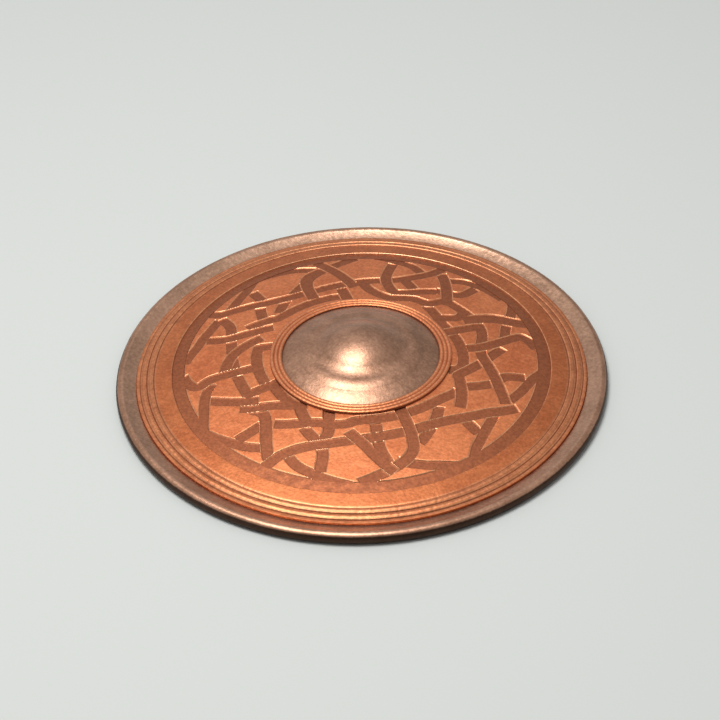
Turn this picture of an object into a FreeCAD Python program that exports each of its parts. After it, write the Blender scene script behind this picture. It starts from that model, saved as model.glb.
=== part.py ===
"""Round bronze shield with a low boss, a pad-and-channel interlace and a bound rim.

Millimetres. +Z is up and the face looks up, with the shield lying on the underside of its rim.
The origin is on the shield's axis, on the plane that the rim rests on. Angles are measured from +X.
"""
import FreeCAD, Part
import math
import os
import re
import Sketcher

Vector = FreeCAD.Vector
AXIS_UP = Vector(0, 0, 1)

# Driving dimensions, in millimetres. A name that ends in share or shares is a ratio.
SIZES = {
    # Face plate: a shallow dome of sheet bronze
    "shield_radius": 300.0,
    "crown_radius": 1300.0,
    "plate_edge_rise": 2.3,
    "plate_thickness": 3.0,
    "recess_depth": 1.6,
    "hole_inset": 3.4,
    "edge_step": 3.4,
    "edge_lift": 2.0,
    # Borders of the face, from the binding's flange inwards
    "ridge_margin": 4.2,
    "ridge_width": 8.6,
    "ridge_height": 1.4,
    "plain_band_width": 22.1,
    "ring_width": 15.8,
    # Interlace channels
    "band_width": 13.5,
    "petal_width": 12.6,
    "lip_width": 1.3,
    "path_step": 16.0,
    # Rim binding and its core
    "bead_radius": 7.5,
    "bead_sink": 0.4,
    "binding_wall": 1.2,
    "flange_reach": 11.0,
    "plate_tuck": 0.5,
    "core_gap": 0.6,
    # Boss dome and collar
    "boss_radius": 95.4,
    "boss_rise": 31.0,
    "boss_wall": 1.2,
    "boss_flange_width": 11.6,
    "collar_skirt_width": 3.6,
    "collar_inner_gap": 0.6,
    "collar_edge_height": 2.4,
    "collar_lip_height": 0.9,
    "collar_bead_height": 1.1,
    # Ring behind the plate, and the rivets through it
    "back_ring_width": 38.0,
    "back_ring_edge": 2.4,
    "rivet_radius": 2.0,
    "rivet_head_radius": 4.2,
    "rivet_head_height": 2.2,
    "rivet_sink_radius": 3.2,
    "rivet_sink_depth": 1.0,
    "rivet_recess": 0.3,
    # Hand grip
    "grip_bar_thickness": 4.0,
    "grip_bar_width": 18.0,
    "grip_lug_width": 34.0,
    "grip_lug_length": 18.0,
    "grip_drop": 8.0,
    "grip_drop_run": 20.0,
    "grip_hand_length": 112.0,
    "grip_scale_width": 27.0,
    "grip_scale_waist": 23.0,
    "grip_scale_thickness": 9.0,
    "grip_scale_round": 6.5,
    "grip_rivet_spacing": 19.0,
    "grip_pin_radius": 2.5,
    "grip_pin_spacing": 40.0,
    # Strap lugs and loops
    "lug_width": 20.0,
    "lug_thickness": 2.4,
    "lug_length": 22.0,
    "lug_knuckle_wall": 1.6,
    "lug_rivet_spacing": 11.0,
    "loop_bar_radius": 2.0,
    "loop_side_gap": 0.6,
    "loop_arm_width": 3.6,
    "loop_thickness": 4.0,
    "loop_depth": 20.0,
    # Clearances
    "seat_gap": 0.15,
    "edge_gap": 0.3,
    "slot_gap": 0.5,
    "pivot_gap": 0.3,
}
BOSS_RIVETS = 12
FIRST_RIVET_ANGLE = 15.0
CORE_SIDES = 8
FIRST_CORNER_ANGLE = 210.0
COLLAR_BEADS = 3
RIDGES = 2

# Boss section, as shares of the boss's radius and rise: the edge of its round crown, then the ends
# of the arcs outside it. A third share is how far the arc swells from its chord, or hollows where
# it is below zero.
BOSS_CROWN_SHARES = (0.472, 0.584)
BOSS_ARC_SHARES = [(0.639, 0.4, -0.055), (0.807, 0.239, 0.06), (1.0, 0.0, 0.026)]
# A bead's or ridge's section, as shares of its width and height
BEAD_SHARES = [(0.0, 0.0), (0.16, 0.66), (0.5, 1.0), (0.84, 0.66)]
# A rivet head's section, as shares of its radius and height
HEAD_SHARES = [(0.0, 1.0), (0.45, 1.0), (0.85, 0.62), (1.0, 0.0)]

# Interlace: the middle line of each channel, as (angle in degrees, share of the way from the
# collar's edge to the sunk ring). A third number is its width there, as a share of the band's.
# Quarters are numbered 0 to 3. A strand in UNDER stops beside the strands that cross over it.
STRAND_SHARES = {
    "arch_0": [(4, 0.78), (13, 0.59), (28, 0.375), (36.5, 0.35), (51.5, 0.45), (72.5, 0.42),
               (77, 0.45), (90, 0.895)],
    "crown_0": [(-9, 0.39), (9, 0.16), (14, 0.145), (29.5, 0.435), (36, 0.605)],
    "collar_0": [(13.5, -0.025), (22, 0.135), (57, 0.075), (63.5, 0.075), (81, 0.175)],
    "leg_0b": [(5.5, 0.29), (12.5, 0.535), (18, 0.635), (20, 0.865)],
    "arm_0e": [(36, 0.19), (37, 0.36), (42.5, 0.795), (41.5, 0.92), (36.5, 1.01)],
    "arm_0f": [(59.5, 0.335, 1.2), (56.5, 0.62, 1.35), (54, 0.765, 1.3), (51, 0.92, 1.25),
               (49.5, 1.05, 1.15)],
    "post_0": [(53, -0.025), (52, 0.475)],
    "link_0": [(66.5, 0.135), (62.5, 0.29), (64.5, 0.435)],
    "leg_1a": [(85, 0.52), (76, 0.635), (75, 0.895)],
    "upper_1": [(76.5, 0.435), (81.5, 0.235), (90.5, 0.205), (103.5, 0.12), (114.5, 0.235),
                (120.5, 0.465)],
    "arch_1": [(91, 1.02), (94.5, 0.78), (104, 0.535), (116.5, 0.45), (141.5, 0.375),
               (160.5, 0.475), (177.5, 0.82), (181, 1.02)],
    "crown_1": [(84.5, 0.505), (97.5, 0.275), (104, 0.29), (109, 0.535), (108.5, 0.905)],
    "link_1c": [(101.5, 0.565), (94.5, 0.405)],
    "arm_1e": [(123, 0.32), (135.5, 1.02)],
    "stem_1": [(127.5, -0.025), (130, 0.335)],
    "arm_1f": [(146, 0.22), (144, 0.535, 1.1), (140.5, 0.705, 1.35), (131, 0.85, 1.05),
               (121.5, 1.02)],
    "leg_2a": [(165, 0.59), (163, 0.85)],
    "collar_1": [(131.5, 0.135), (167.5, 0.175), (175, 0.26), (185, 0.42)],
    "link_1a": [(167.5, 0.26), (157, 0.405)],
    "link_1b": [(176.5, 0.32), (169.5, 0.52)],
    "crown_2": [(180, 0.135), (187.5, 0.335), (194, 0.59), (195.5, 0.82)],
    "arch_2": [(182, 0.82), (187.5, 0.605), (205.5, 0.45), (233.5, 0.375), (243.5, 0.465),
               (250.5, 0.405), (257.5, 0.535), (268, 0.895)],
    "cross_2": [(190.5, 0.175), (204.5, 0.435), (216, 0.535)],
    "collar_2": [(197.5, -0.025), (199.5, 0.135), (204, 0.16), (235.5, 0.12)],
    "arm_2e": [(217, 0.205), (218.5, 0.665), (221, 0.85), (219, 0.95), (214, 1.02)],
    "post_2": [(235, -0.025), (235, 0.42)],
    "hoop_2": [(232, 0.045), (251, 0.075), (259, 0.06)],
    "arm_2f": [(241.5, 0.32), (229.5, 0.82)],
    "branch_2": [(264, -0.01), (250.5, 0.22), (241, 0.55)],
    "leg_3a": [(255, 0.535), (253.5, 0.865)],
    "spur_3": [(261.5, 0.06), (272, 0.235)],
    "crown_3": [(259, 0.435), (273.5, 0.22), (284, 0.16)],
    "collar_3": [(280.5, 0.19), (291.5, 0.145), (303, 0.075), (342.5, 0.12), (360, 0.22)],
    "post_3": [(279.5, -0.025), (284, 0.26), (283.5, 0.435)],
    "leg_3b": [(272.5, 0.32), (284, 0.55), (286.5, 0.895)],
    "arch_3": [(268.5, 1.02), (271, 0.78), (278.5, 0.565), (293.5, 0.405), (311, 0.35),
               (331.5, 0.375), (343, 0.465), (354.5, 0.65), (359, 0.77), (364, 0.92)],
    "arm_3e": [(294, 0.26), (301.5, 0.465), (311, 0.895)],
    "drop_3": [(308, 0.135), (307.5, 0.475), (309.5, 0.75)],
    "arm_3f": [(325, -0.025), (322.5, 0.435), (317.5, 0.72), (299.5, 1.01)],
    "leg_0a": [(346.5, 0.575), (345.5, 0.795)],
    "link_3a": [(344, 0.22), (336, 0.36)],
    "link_3b": [(332.5, 0.42), (324, 0.565)],
    "leg_1b": [(144, 0.59), (152.5, 0.45)],
}
PETAL_SHARES = {
    "petal_0a": [(6.5, 0.795), (12.5, 0.865), (16.5, 0.905), (21, 0.965), (27, 1.11)],
    "petal_0b": [(42.5, 0.665), (48, 0.735), (52, 0.82), (57.5, 0.965), (64.5, 1.14)],
    "petal_0c": [(87, 0.75), (81.5, 0.895), (77, 0.95), (73, 0.98), (65, 1.01)],
    "petal_1a": [(115, 1.05), (107.5, 0.965), (104, 0.935), (101, 0.895), (96, 0.78)],
    "petal_1b": [(137, 0.835), (142, 0.92), (145.5, 0.965), (150.5, 1.01), (157, 1.05)],
    "petal_1c": [(176.5, 0.82), (171, 0.865), (167, 0.905), (163, 0.95), (156.5, 1.08)],
    "petal_2a": [(183, 0.835), (189, 0.85), (194, 0.88), (199, 0.905), (207.5, 1.01)],
    "petal_2b": [(221.5, 0.705), (226.5, 0.805), (231, 0.87), (235, 0.925), (243.5, 1.08)],
    "petal_2c": [(243.5, 1.06), (251, 0.965), (254.5, 0.92), (258, 0.88), (265, 0.765)],
    "petal_3a": [(272.5, 0.75), (278, 0.865), (284.5, 0.935), (291, 1), (297, 1.05)],
    "petal_3b": [(313, 0.75), (317.5, 0.825), (323, 0.915), (326.5, 0.965), (333, 1.09)],
    "petal_3c": [(357, 0.75), (349, 0.815), (344, 0.88), (340, 0.95), (335.5, 1.09)],
}
UNDER = {
    "arch_0": ["arch_3", "arm_0e", "arm_0f", "arch_1"],
    "crown_0": ["arch_0", "arm_0e"],
    "collar_0": ["crown_0", "post_0", "upper_1"],
    "leg_0b": ["arch_0"],
    "leg_1a": ["arch_0"],
    "arch_1": ["crown_1", "arm_1e", "arm_1f"],
    "crown_1": ["arch_0", "upper_1"],
    "link_1c": ["crown_1"],
    "arm_1f": ["arm_1e"],
    "leg_2a": ["arch_1"],
    "stem_1": ["arch_1", "arm_1e"],
    "collar_1": ["stem_1", "crown_2"],
    "link_1a": ["collar_1", "arch_1"],
    "link_1b": ["collar_1", "arch_1"],
    "arch_2": ["arch_1", "crown_2", "cross_2", "arm_2e", "arm_2f", "branch_2", "arch_3"],
    "cross_2": ["arm_2e"],
    "collar_2": ["post_2"],
    "branch_2": ["arm_2f"],
    "arm_2f": ["petal_2b"],
    "leg_3a": ["arch_2"],
    "crown_3": ["arch_2"],
    "leg_3b": ["arch_3", "crown_3"],
    "post_3": ["arch_3"],
    "arch_3": ["arm_3e", "arm_3f"],
    "drop_3": ["arch_3", "collar_3"],
    "arm_3f": ["arm_3e"],
    "collar_3": ["arm_3f", "crown_0"],
    "leg_0a": ["arch_3"],
    "link_3a": ["collar_3", "arch_3"],
    "link_3b": ["arm_3f", "arch_3"],
    "petal_0a": ["arch_0"],
    "petal_0b": ["arm_0f", "arm_0e"],
    "petal_0c": ["arch_0"],
    "petal_1a": ["arch_1"],
    "petal_1b": ["arm_1f"],
    "petal_1c": ["arch_1"],
    "petal_2b": ["arm_2e"],
    "petal_2c": ["arch_2"],
    "petal_3a": ["arch_3"],
    "petal_3b": ["arm_3f"],
    "petal_3c": ["arch_3"],
    "leg_1b": ["arm_1f", "arch_1"],
}

doc = FreeCAD.newDocument("bronze_shield")
sheet = doc.addObject("Spreadsheet::Sheet", "Sizes")
for row, (alias, number) in enumerate(SIZES.items(), start=1):
    sheet.set(f"A{row}", alias)
    sheet.set(f"B{row}", str(number))
    sheet.setAlias(f"B{row}", alias)
doc.recompute()
ALIASES = re.compile(r"\b(" + "|".join(SIZES) + r")\b")


def value(text):
    """The number that an expression in the sheet's names comes to."""
    result = sheet.evalExpression(text)
    return float(getattr(result, "Value", result))


def bind(text):
    """The same expression as another object has to write it."""
    return ALIASES.sub(r"Sizes.\1", text)


# Places that several pieces share, as expressions
BEAD_MIDDLE = "(shield_radius - bead_radius)"
BEAD_MIDDLE_HEIGHT = "(bead_radius - bead_sink)"
PLATE_EDGE = "(shield_radius - 2 * bead_radius + plate_tuck)"
DOME_MIDDLE = f"({BEAD_MIDDLE_HEIGHT} + plate_edge_rise - sqrt(crown_radius^2 - {PLATE_EDGE}^2))"
CROWN_HEIGHT = f"({DOME_MIDDLE} + crown_radius)"
FLANGE_EDGE = f"({PLATE_EDGE} - flange_reach)"
RIDGE_OUTER = f"({FLANGE_EDGE} - ridge_margin)"
RIDGE_INNER = f"({RIDGE_OUTER} - {RIDGES} * ridge_width)"
RING_OUTER = f"({RIDGE_INNER} - plain_band_width)"
RING_INNER = f"({RING_OUTER} - ring_width)"
BOSS_EDGE = "(boss_radius + boss_flange_width)"
COLLAR_INNER = "(boss_radius + collar_inner_gap)"
COLLAR_OUTER = f"({BOSS_EDGE} + collar_skirt_width)"
RIVET_CIRCLE = "(boss_radius + boss_flange_width / 2)"
HOLE_RADIUS = "(boss_radius - hole_inset)"
BACK_RING_RADIUS = f"({HOLE_RADIUS} + back_ring_width)"


def dome(radius, depth="0"):
    """Height, as an expression, of the face's dome at a radius, a depth below its surface."""
    return f"({DOME_MIDDLE} + sqrt((crown_radius - ({depth}))^2 - ({radius})^2))"


def dome_arc(depth, turn):
    """The arc that the dome's section is, for an outline."""
    return {"middle": ("0", DOME_MIDDLE), "radius": f"(crown_radius - ({depth}))", "turn": turn}


def bulged_arc(start, end, bulge):
    """An arc between two points of an outline that bulges to its left by a share of its chord."""
    reach = (1 / 4 - bulge ** 2) / (2 * bulge)
    middle = (
        f"(({start[0]} + {end[0]}) / 2 + ({reach}) * ({end[1]} - {start[1]}))",
        f"(({start[1]} + {end[1]}) / 2 - ({reach}) * ({end[0]} - {start[0]}))",
    )
    radius = f"sqrt(({start[0]} - {middle[0]})^2 + ({start[1]} - {middle[1]})^2)"
    return {"middle": middle, "radius": radius, "turn": -1 if bulge > 0 else 1}


def crown_arc(apex, end):
    """An arc from a point on the axis, level there, outwards and down to a point of an outline."""
    drop = f"({apex[1]} - {end[1]})"
    radius = f"(({end[0]}^2 + {drop}^2) / (2 * {drop}))"
    return {"middle": ("0", f"({apex[1]} - {radius})"), "radius": radius, "turn": -1}


def bead_points(outer, inner, height):
    """A raised bead's section from its outer foot inwards, without its inner foot."""
    points = []
    for across, up in BEAD_SHARES:
        radius = f"({outer[0]} + {across} * ({inner[0]} - {outer[0]}))"
        foot = f"({outer[1]} + {across} * ({inner[1]} - {outer[1]}))"
        points.append((radius, f"({foot} + {up} * {height})"))
    return points


# The plate's edge steps down under the binding's flange and rises again to the bead
STEP_FOOT = f"({dome(FLANGE_EDGE)} - edge_step)"
STEP_EDGE = f"({STEP_FOOT} + edge_lift)"

# Heights behind the plate, and the strap loop's axis
SEAT_HEIGHT = f"({dome(BACK_RING_RADIUS, 'plate_thickness + seat_gap')} - back_ring_edge)"
GRIP_TOP = f"({SEAT_HEIGHT} - grip_drop)"
GRIP_END = f"({BACK_RING_RADIUS} - seat_gap)"
LOOP_AXIS_HEIGHT = f"({SEAT_HEIGHT} - lug_knuckle_wall - loop_bar_radius - pivot_gap)"
LOOP_AXIS_REACH = f"({BACK_RING_RADIUS} + lug_knuckle_wall)"
KNUCKLE_RADIUS = "(lug_knuckle_wall + loop_bar_radius + pivot_gap)"


def circle_reach(radius, height):
    """Half the chord of a circle at a height from its middle, as an expression."""
    return f"sqrt(({radius})^2 - ({height})^2)"


def new_body(label):
    body = doc.addObject("PartDesign::Body", label)
    body.Label = label
    return body


def plane_of(body, role):
    return [item for item in body.Origin.OriginFeatures if item.Role == role][0]


def pin_place(sketch, index, end, kind, text):
    """Fix how far across or up one point of a line or arc is, by an expression."""
    number = value(text)
    if number == 0:
        axis = -2 if kind == "DistanceX" else -1
        sketch.addConstraint(Sketcher.Constraint("PointOnObject", index, end, axis))
        return
    place = sketch.addConstraint(Sketcher.Constraint(kind, -1, 1, index, end, number))
    sketch.setExpression(f"Constraints[{place}]", bind(text))


def draw_outline(sketch, outline):
    """Draw a closed outline of points, each (across, up) or (across, up, arc to the next point)."""
    places = [(value(point[0]), value(point[1])) for point in outline]
    starts = []
    for index, point in enumerate(outline):
        here = Vector(*places[index], 0)
        there = Vector(*places[(index + 1) % len(places)], 0)
        if len(point) == 2:
            sketch.addGeometry(Part.LineSegment(here, there), False)
            starts.append((1, 2))
            continue
        arc = point[2]
        middle = Vector(value(arc["middle"][0]), value(arc["middle"][1]), 0)
        first = math.atan2(here.y - middle.y, here.x - middle.x)
        last = math.atan2(there.y - middle.y, there.x - middle.x)
        if arc["turn"] < 0:
            first, last = last, first
        if last <= first:
            last += 2 * math.pi
        circle = Part.Circle(middle, AXIS_UP, value(arc["radius"]))
        sketch.addGeometry(Part.ArcOfCircle(circle, first, last), False)
        starts.append((1, 2) if arc["turn"] > 0 else (2, 1))
    count = len(outline)
    for index in range(count):
        after = (index + 1) % count
        ends = Sketcher.Constraint("Coincident", index, starts[index][1], after, starts[after][0])
        sketch.addConstraint(ends)
    for index, point in enumerate(outline):
        pin_place(sketch, index, starts[index][0], "DistanceX", point[0])
        pin_place(sketch, index, starts[index][0], "DistanceY", point[1])
        if len(point) == 3:
            chord = [b - a for a, b in zip(places[index], places[(index + 1) % count])]
            level = abs(chord[0]) > abs(chord[1])
            kind = "DistanceY" if level else "DistanceX"
            pin_place(sketch, index, 3, kind, point[2]["middle"][1 if level else 0])


def new_sketch(body, name, role, outline):
    sketch = body.newObject("Sketcher::SketchObject", name)
    sketch.AttachmentSupport = (plane_of(body, role), [""])
    sketch.MapMode = "FlatFace"
    draw_outline(sketch, outline)
    return sketch


def turned_body(label, outline):
    """A body made by turning an outline in the XZ plane about the shield's axis."""
    body = new_body(label)
    sketch = new_sketch(body, label + "_section", "XZ_Plane", outline)
    turn = body.newObject("PartDesign::Revolution", label + "_turn")
    turn.Profile = sketch
    turn.ReferenceAxis = (sketch, ["V_Axis"])
    turn.Angle = 360.0
    sketch.Visibility = False
    return body


def padded_body(label, role, outline, width):
    """A body made by padding an outline to both sides of a plane through the origin."""
    body = new_body(label)
    sketch = new_sketch(body, label + "_outline", role, outline)
    pad = body.newObject("PartDesign::Pad", label + "_pad")
    pad.Profile = sketch
    pad.setExpression("Length", bind(width))
    pad.Midplane = True
    return body


def cut_from(label, base, tool):
    """What is left of a piece after a tool has gone through it, under the piece's own label."""
    cut = doc.addObject("Part::Cut", label)
    cut.Base = base
    cut.Tool = tool
    base.Label = label + "_blank"
    cut.Label = label
    return cut


def set_shape(label, shape):
    feature = doc.addObject("Part::Feature", label)
    feature.Shape = shape
    feature.Placement = FreeCAD.Placement()
    feature.Label = label
    return feature


def turned_solid(points):
    """A solid turned about Z from a closed list of (radius, height) points."""
    corners = [Vector(radius, 0, height) for radius, height in points]
    face = Part.Face(Part.makePolygon(corners + corners[:1]))
    return face.revolve(Vector(), AXIS_UP, 360)


def strand_path(points):
    """Places along a strand and its width share there, evenly spaced on a smooth polar curve."""
    start = value(COLLAR_OUTER)
    span = value(f"{RING_INNER} - {COLLAR_OUTER}")
    step = value("path_step")
    polar = []
    for angle, share, *width_share in points:
        polar.append((math.radians(angle), start + share * span, *(width_share or [1.0])))
    first = tuple(2 * a - b for a, b in zip(polar[0], polar[1]))
    last = tuple(2 * a - b for a, b in zip(polar[-1], polar[-2]))
    chain = [first] + polar + [last]
    path = []
    for index in range(1, len(chain) - 2):
        before, here, there, after = chain[index - 1:index + 3]
        run = math.hypot(there[1] - here[1], (there[0] - here[0]) * (there[1] + here[1]) / 2)
        count = max(1, round(run / step))
        for part in range(count):
            share = part / count
            place = []
            for a, b, c, d in zip(before, here, there, after):
                bend = (2 * a - 5 * b + 4 * c - d) * share + (3 * b - a - 3 * c + d) * share ** 2
                place.append(b + share * (c - a + bend) / 2)
            path.append(place)
    path.append(polar[-1])
    return [
        (Vector(radius * math.cos(angle), radius * math.sin(angle), 0), width_share)
        for angle, radius, width_share in path
    ]


def strand_face(points, width, lip):
    """The flat outline of a strand: its two edges as splines beside its middle line."""
    path = strand_path(points)
    left, right = [], []
    for index, (place, width_share) in enumerate(path):
        before = path[max(index - 1, 0)][0]
        after = path[min(index + 1, len(path) - 1)][0]
        along = (after - before).normalize()
        aside = Vector(-along.y, along.x, 0) * (width * width_share / 2 + lip)
        left.append(place + aside)
        right.append(place - aside)
    edges = []
    for side in (left, right):
        if len(side) == 2:
            edges.append(Part.makeLine(side[0], side[1]))
            continue
        spline = Part.BSplineCurve()
        spline.interpolate(side)
        edges.append(spline.toShape())
    edges.append(Part.makeLine(left[0], right[0]))
    edges.append(Part.makeLine(left[-1], right[-1]))
    return Part.Face(Part.Wire(Part.__sortEdges__(edges)))


def interlace_channels():
    """Everything that is cut out of the face for the interlace, down to the channel floor."""
    lip = value("lip_width")
    plain, widened = {}, {}
    for table, width in ((STRAND_SHARES, value("band_width")), (PETAL_SHARES, value("petal_width"))):
        for name, points in table.items():
            plain[name] = strand_face(points, width, 0)
            widened[name] = strand_face(points, width, lip)
    pieces = []
    for name, face in plain.items():
        over = [widened[other] for other in UNDER.get(name, [])]
        pieces.extend(face.cut(over).Faces if over else [face])
    web = pieces[0].multiFuse(pieces[1:]).removeSplitter()
    crown = value(CROWN_HEIGHT)
    prisms = web.extrude(AXIS_UP * crown)
    outer = value(f"({RING_INNER} + {RING_OUTER}) / 2")
    field = Part.makeCylinder(outer, 2 * crown).cut(Part.makeCylinder(value(COLLAR_OUTER), 2 * crown))
    floor_radius = value("crown_radius - recess_depth")
    layer = field.cut(Part.makeSphere(floor_radius, Vector(0, 0, value(DOME_MIDDLE))))
    return prisms.common(layer)


def rivet(low, high, place):
    """A rivet with a raised head below and a countersunk one above."""
    shank = value("rivet_radius")
    head = value("rivet_head_radius")
    height = value("rivet_head_height")
    points = [(across * head, low - up * height) for across, up in HEAD_SHARES]
    points += [(shank, low), (shank, high - value("rivet_sink_depth"))]
    points += [(value("rivet_sink_radius"), high), (0, high)]
    solid = turned_solid(points)
    solid.translate(Vector(place[0], place[1], 0))
    return solid


def rivet_hole(low, high, place):
    """What a rivet's shank and countersink clear on their way through."""
    gap = value("seat_gap")
    shank = value("rivet_radius") + gap
    wide = value("rivet_sink_radius") + gap
    overrun = value("rivet_head_height")
    points = [(0, low - overrun), (shank, low - overrun), (shank, high - value("rivet_sink_depth"))]
    points += [(wide, high), (wide, high + overrun), (0, high + overrun)]
    solid = turned_solid(points)
    solid.translate(Vector(place[0], place[1], 0))
    return solid


# Rivet places: around the boss, at the grip's two ends and at the two strap lugs
boss_places = []
for index in range(BOSS_RIVETS):
    turn = math.radians(FIRST_RIVET_ANGLE + 360 / BOSS_RIVETS * index)
    reach = value(RIVET_CIRCLE)
    boss_places.append((reach * math.cos(turn), reach * math.sin(turn)))
grip_rivet_reach = value(f"{GRIP_END} - grip_lug_length / 2")
grip_side = value("grip_rivet_spacing / 2")
grip_places = [(x, y) for x in (-grip_rivet_reach, grip_rivet_reach) for y in (-grip_side, grip_side)]
lug_rivet_reach = value(f"{LOOP_AXIS_REACH} - lug_length / 2 - lug_knuckle_wall")
lug_side = value("lug_rivet_spacing / 2")
lug_places = {
    "left": [(x, lug_rivet_reach) for x in (-lug_side, lug_side)],
    "right": [(x, -lug_rivet_reach) for x in (-lug_side, lug_side)],
}

# Heights that the rivets run between
seat = value(SEAT_HEIGHT)
flange_top = value(f"{dome(RIVET_CIRCLE)} + seat_gap + boss_wall - rivet_recess")
ring_top = value(f"{dome(BACK_RING_RADIUS, 'plate_thickness')} - seat_gap - rivet_recess")
bar_under = value(f"{SEAT_HEIGHT} - grip_bar_thickness")
lug_under = value(f"{SEAT_HEIGHT} - lug_thickness")

boss_holes = Part.makeCompound([rivet_hole(seat, flange_top, place) for place in boss_places])
ring_places = grip_places + lug_places["left"] + lug_places["right"]
ring_holes = Part.makeCompound([rivet_hole(bar_under, ring_top, place) for place in ring_places])
boss_hole_tool = set_shape("boss_rivet_holes", boss_holes)
ring_hole_tool = set_shape("ring_rivet_holes", ring_holes)

# Face plate: dome with two ridges near the edge and one sunk ring, then the interlace is cut
neck = f"({FLANGE_EDGE} - plate_thickness)"
plate_outline = [
    (HOLE_RADIUS, dome(HOLE_RADIUS, "plate_thickness"), dome_arc("plate_thickness", -1)),
    (neck, dome(neck, "plate_thickness")),
    (FLANGE_EDGE, f"({STEP_FOOT} - plate_thickness)"),
    (PLATE_EDGE, f"({STEP_EDGE} - plate_thickness)"),
    (PLATE_EDGE, STEP_EDGE),
    (FLANGE_EDGE, STEP_FOOT),
    (FLANGE_EDGE, dome(FLANGE_EDGE), dome_arc("0", 1)),
]
for index in range(RIDGES):
    outer = f"({RIDGE_OUTER} - {index} * ridge_width)"
    inner = f"({RIDGE_OUTER} - {index + 1} * ridge_width)"
    plate_outline += bead_points((outer, dome(outer)), (inner, dome(inner)), "ridge_height")
plate_outline += [
    (RIDGE_INNER, dome(RIDGE_INNER), dome_arc("0", 1)),
    (RING_OUTER, dome(RING_OUTER)),
    (RING_OUTER, dome(RING_OUTER, "recess_depth"), dome_arc("recess_depth", 1)),
    (RING_INNER, dome(RING_INNER, "recess_depth")),
    (RING_INNER, dome(RING_INNER), dome_arc("0", 1)),
    (HOLE_RADIUS, dome(HOLE_RADIUS)),
]
plate_blank = turned_body("face_plate_dome", plate_outline)
channels = set_shape("interlace_channels", interlace_channels())
plate_cut = cut_from("face_plate_interlace", plate_blank, channels)
cut_from("face_plate", plate_cut, boss_hole_tool)

# Rim binding: one sheet rolled to a bead, with a flange on each side of the plate's edge
top_height = f"({STEP_EDGE} + slot_gap)"
low_height = f"({STEP_EDGE} - plate_thickness - seat_gap)"
hollow_radius = "(bead_radius - binding_wall)"
bead = {"middle": (BEAD_MIDDLE, BEAD_MIDDLE_HEIGHT), "radius": "bead_radius", "turn": -1}


def bead_point(radius, height):
    """Where a horizontal line meets the inner side of the bead."""
    reach = circle_reach(radius, f"{height} - {BEAD_MIDDLE_HEIGHT}")
    return f"({BEAD_MIDDLE} - {reach})"


def rod_corner(radius, index):
    """A corner of the rod's section, or of the hollow around it."""
    turn = FIRST_CORNER_ANGLE + 360 / CORE_SIDES * index
    across = f"({BEAD_MIDDLE} + {radius} * cos({turn}))"
    return (across, f"({BEAD_MIDDLE_HEIGHT} + {radius} * sin({turn}))")


flange_start = f"({FLANGE_EDGE} + edge_gap)"
flange_top_inner = f"({STEP_FOOT} + edge_gap)"
flange_low_inner = f"({STEP_FOOT} - plate_thickness - seat_gap)"
outer_top = f"({top_height} + binding_wall)"
outer_low = f"({low_height} - binding_wall)"
land_reach = circle_reach("bead_radius", BEAD_MIDDLE_HEIGHT)
binding_outline = [
    (flange_start, f"({flange_top_inner} + binding_wall)"),
    (bead_point("bead_radius", outer_top), outer_top, bead),
    (f"({BEAD_MIDDLE} + {land_reach})", "0"),
    (f"({BEAD_MIDDLE} - {land_reach})", "0", bead),
    (bead_point("bead_radius", outer_low), outer_low),
    (flange_start, f"({flange_low_inner} - binding_wall)"),
    (flange_start, flange_low_inner),
    (bead_point(hollow_radius, low_height), low_height),
]
for index in range(CORE_SIDES - 1):
    binding_outline.append(rod_corner(hollow_radius, index))
binding_outline += [
    (bead_point(hollow_radius, top_height), top_height),
    (flange_start, flange_top_inner),
]
turned_body("rim_binding", binding_outline)

# Rim core: a bent rod shaved to eight sides, with the sheet rolled close over it
core_radius = f"({hollow_radius} - core_gap)"
turned_body("rim_core", [rod_corner(core_radius, index) for index in range(CORE_SIDES)])

# Boss dome: raised from sheet, so its wall is measured upright and thins on the slopes
boss_edge_low = f"({dome(BOSS_EDGE)} + seat_gap)"
boss_foot_low = f"({dome('boss_radius')} + seat_gap)"


def boss_side(lift):
    """One side of the sheet, from the apex outwards: its points and the arcs between them."""
    points = [("0", f"({boss_foot_low} + boss_rise + {lift})")]
    for across, up, *_ in (BOSS_CROWN_SHARES, *BOSS_ARC_SHARES):
        points.append((f"({across} * boss_radius)", f"({boss_foot_low} + {up} * boss_rise + {lift})"))
    arcs = [crown_arc(points[0], points[1])]
    for start, end, (across, up, bulge) in zip(points[1:], points[2:], BOSS_ARC_SHARES):
        arcs.append(bulged_arc(start, end, bulge))
    return points, arcs


over_points, over_arcs = boss_side("boss_wall")
under_points, under_arcs = boss_side("0")
boss_outline = [(*point, arc) for point, arc in zip(over_points, over_arcs)]
boss_outline += [
    over_points[-1],
    (BOSS_EDGE, f"({boss_edge_low} + boss_wall)"),
    (BOSS_EDGE, boss_edge_low),
]
for point, arc in reversed(list(zip(under_points[1:], under_arcs))):
    boss_outline.append((*point, {**arc, "turn": 1 if arc["turn"] < 0 else -1}))
boss_outline.append(under_points[0])
cut_from("boss_dome", turned_body("boss_dome_blank", boss_outline), boss_hole_tool)

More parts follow.
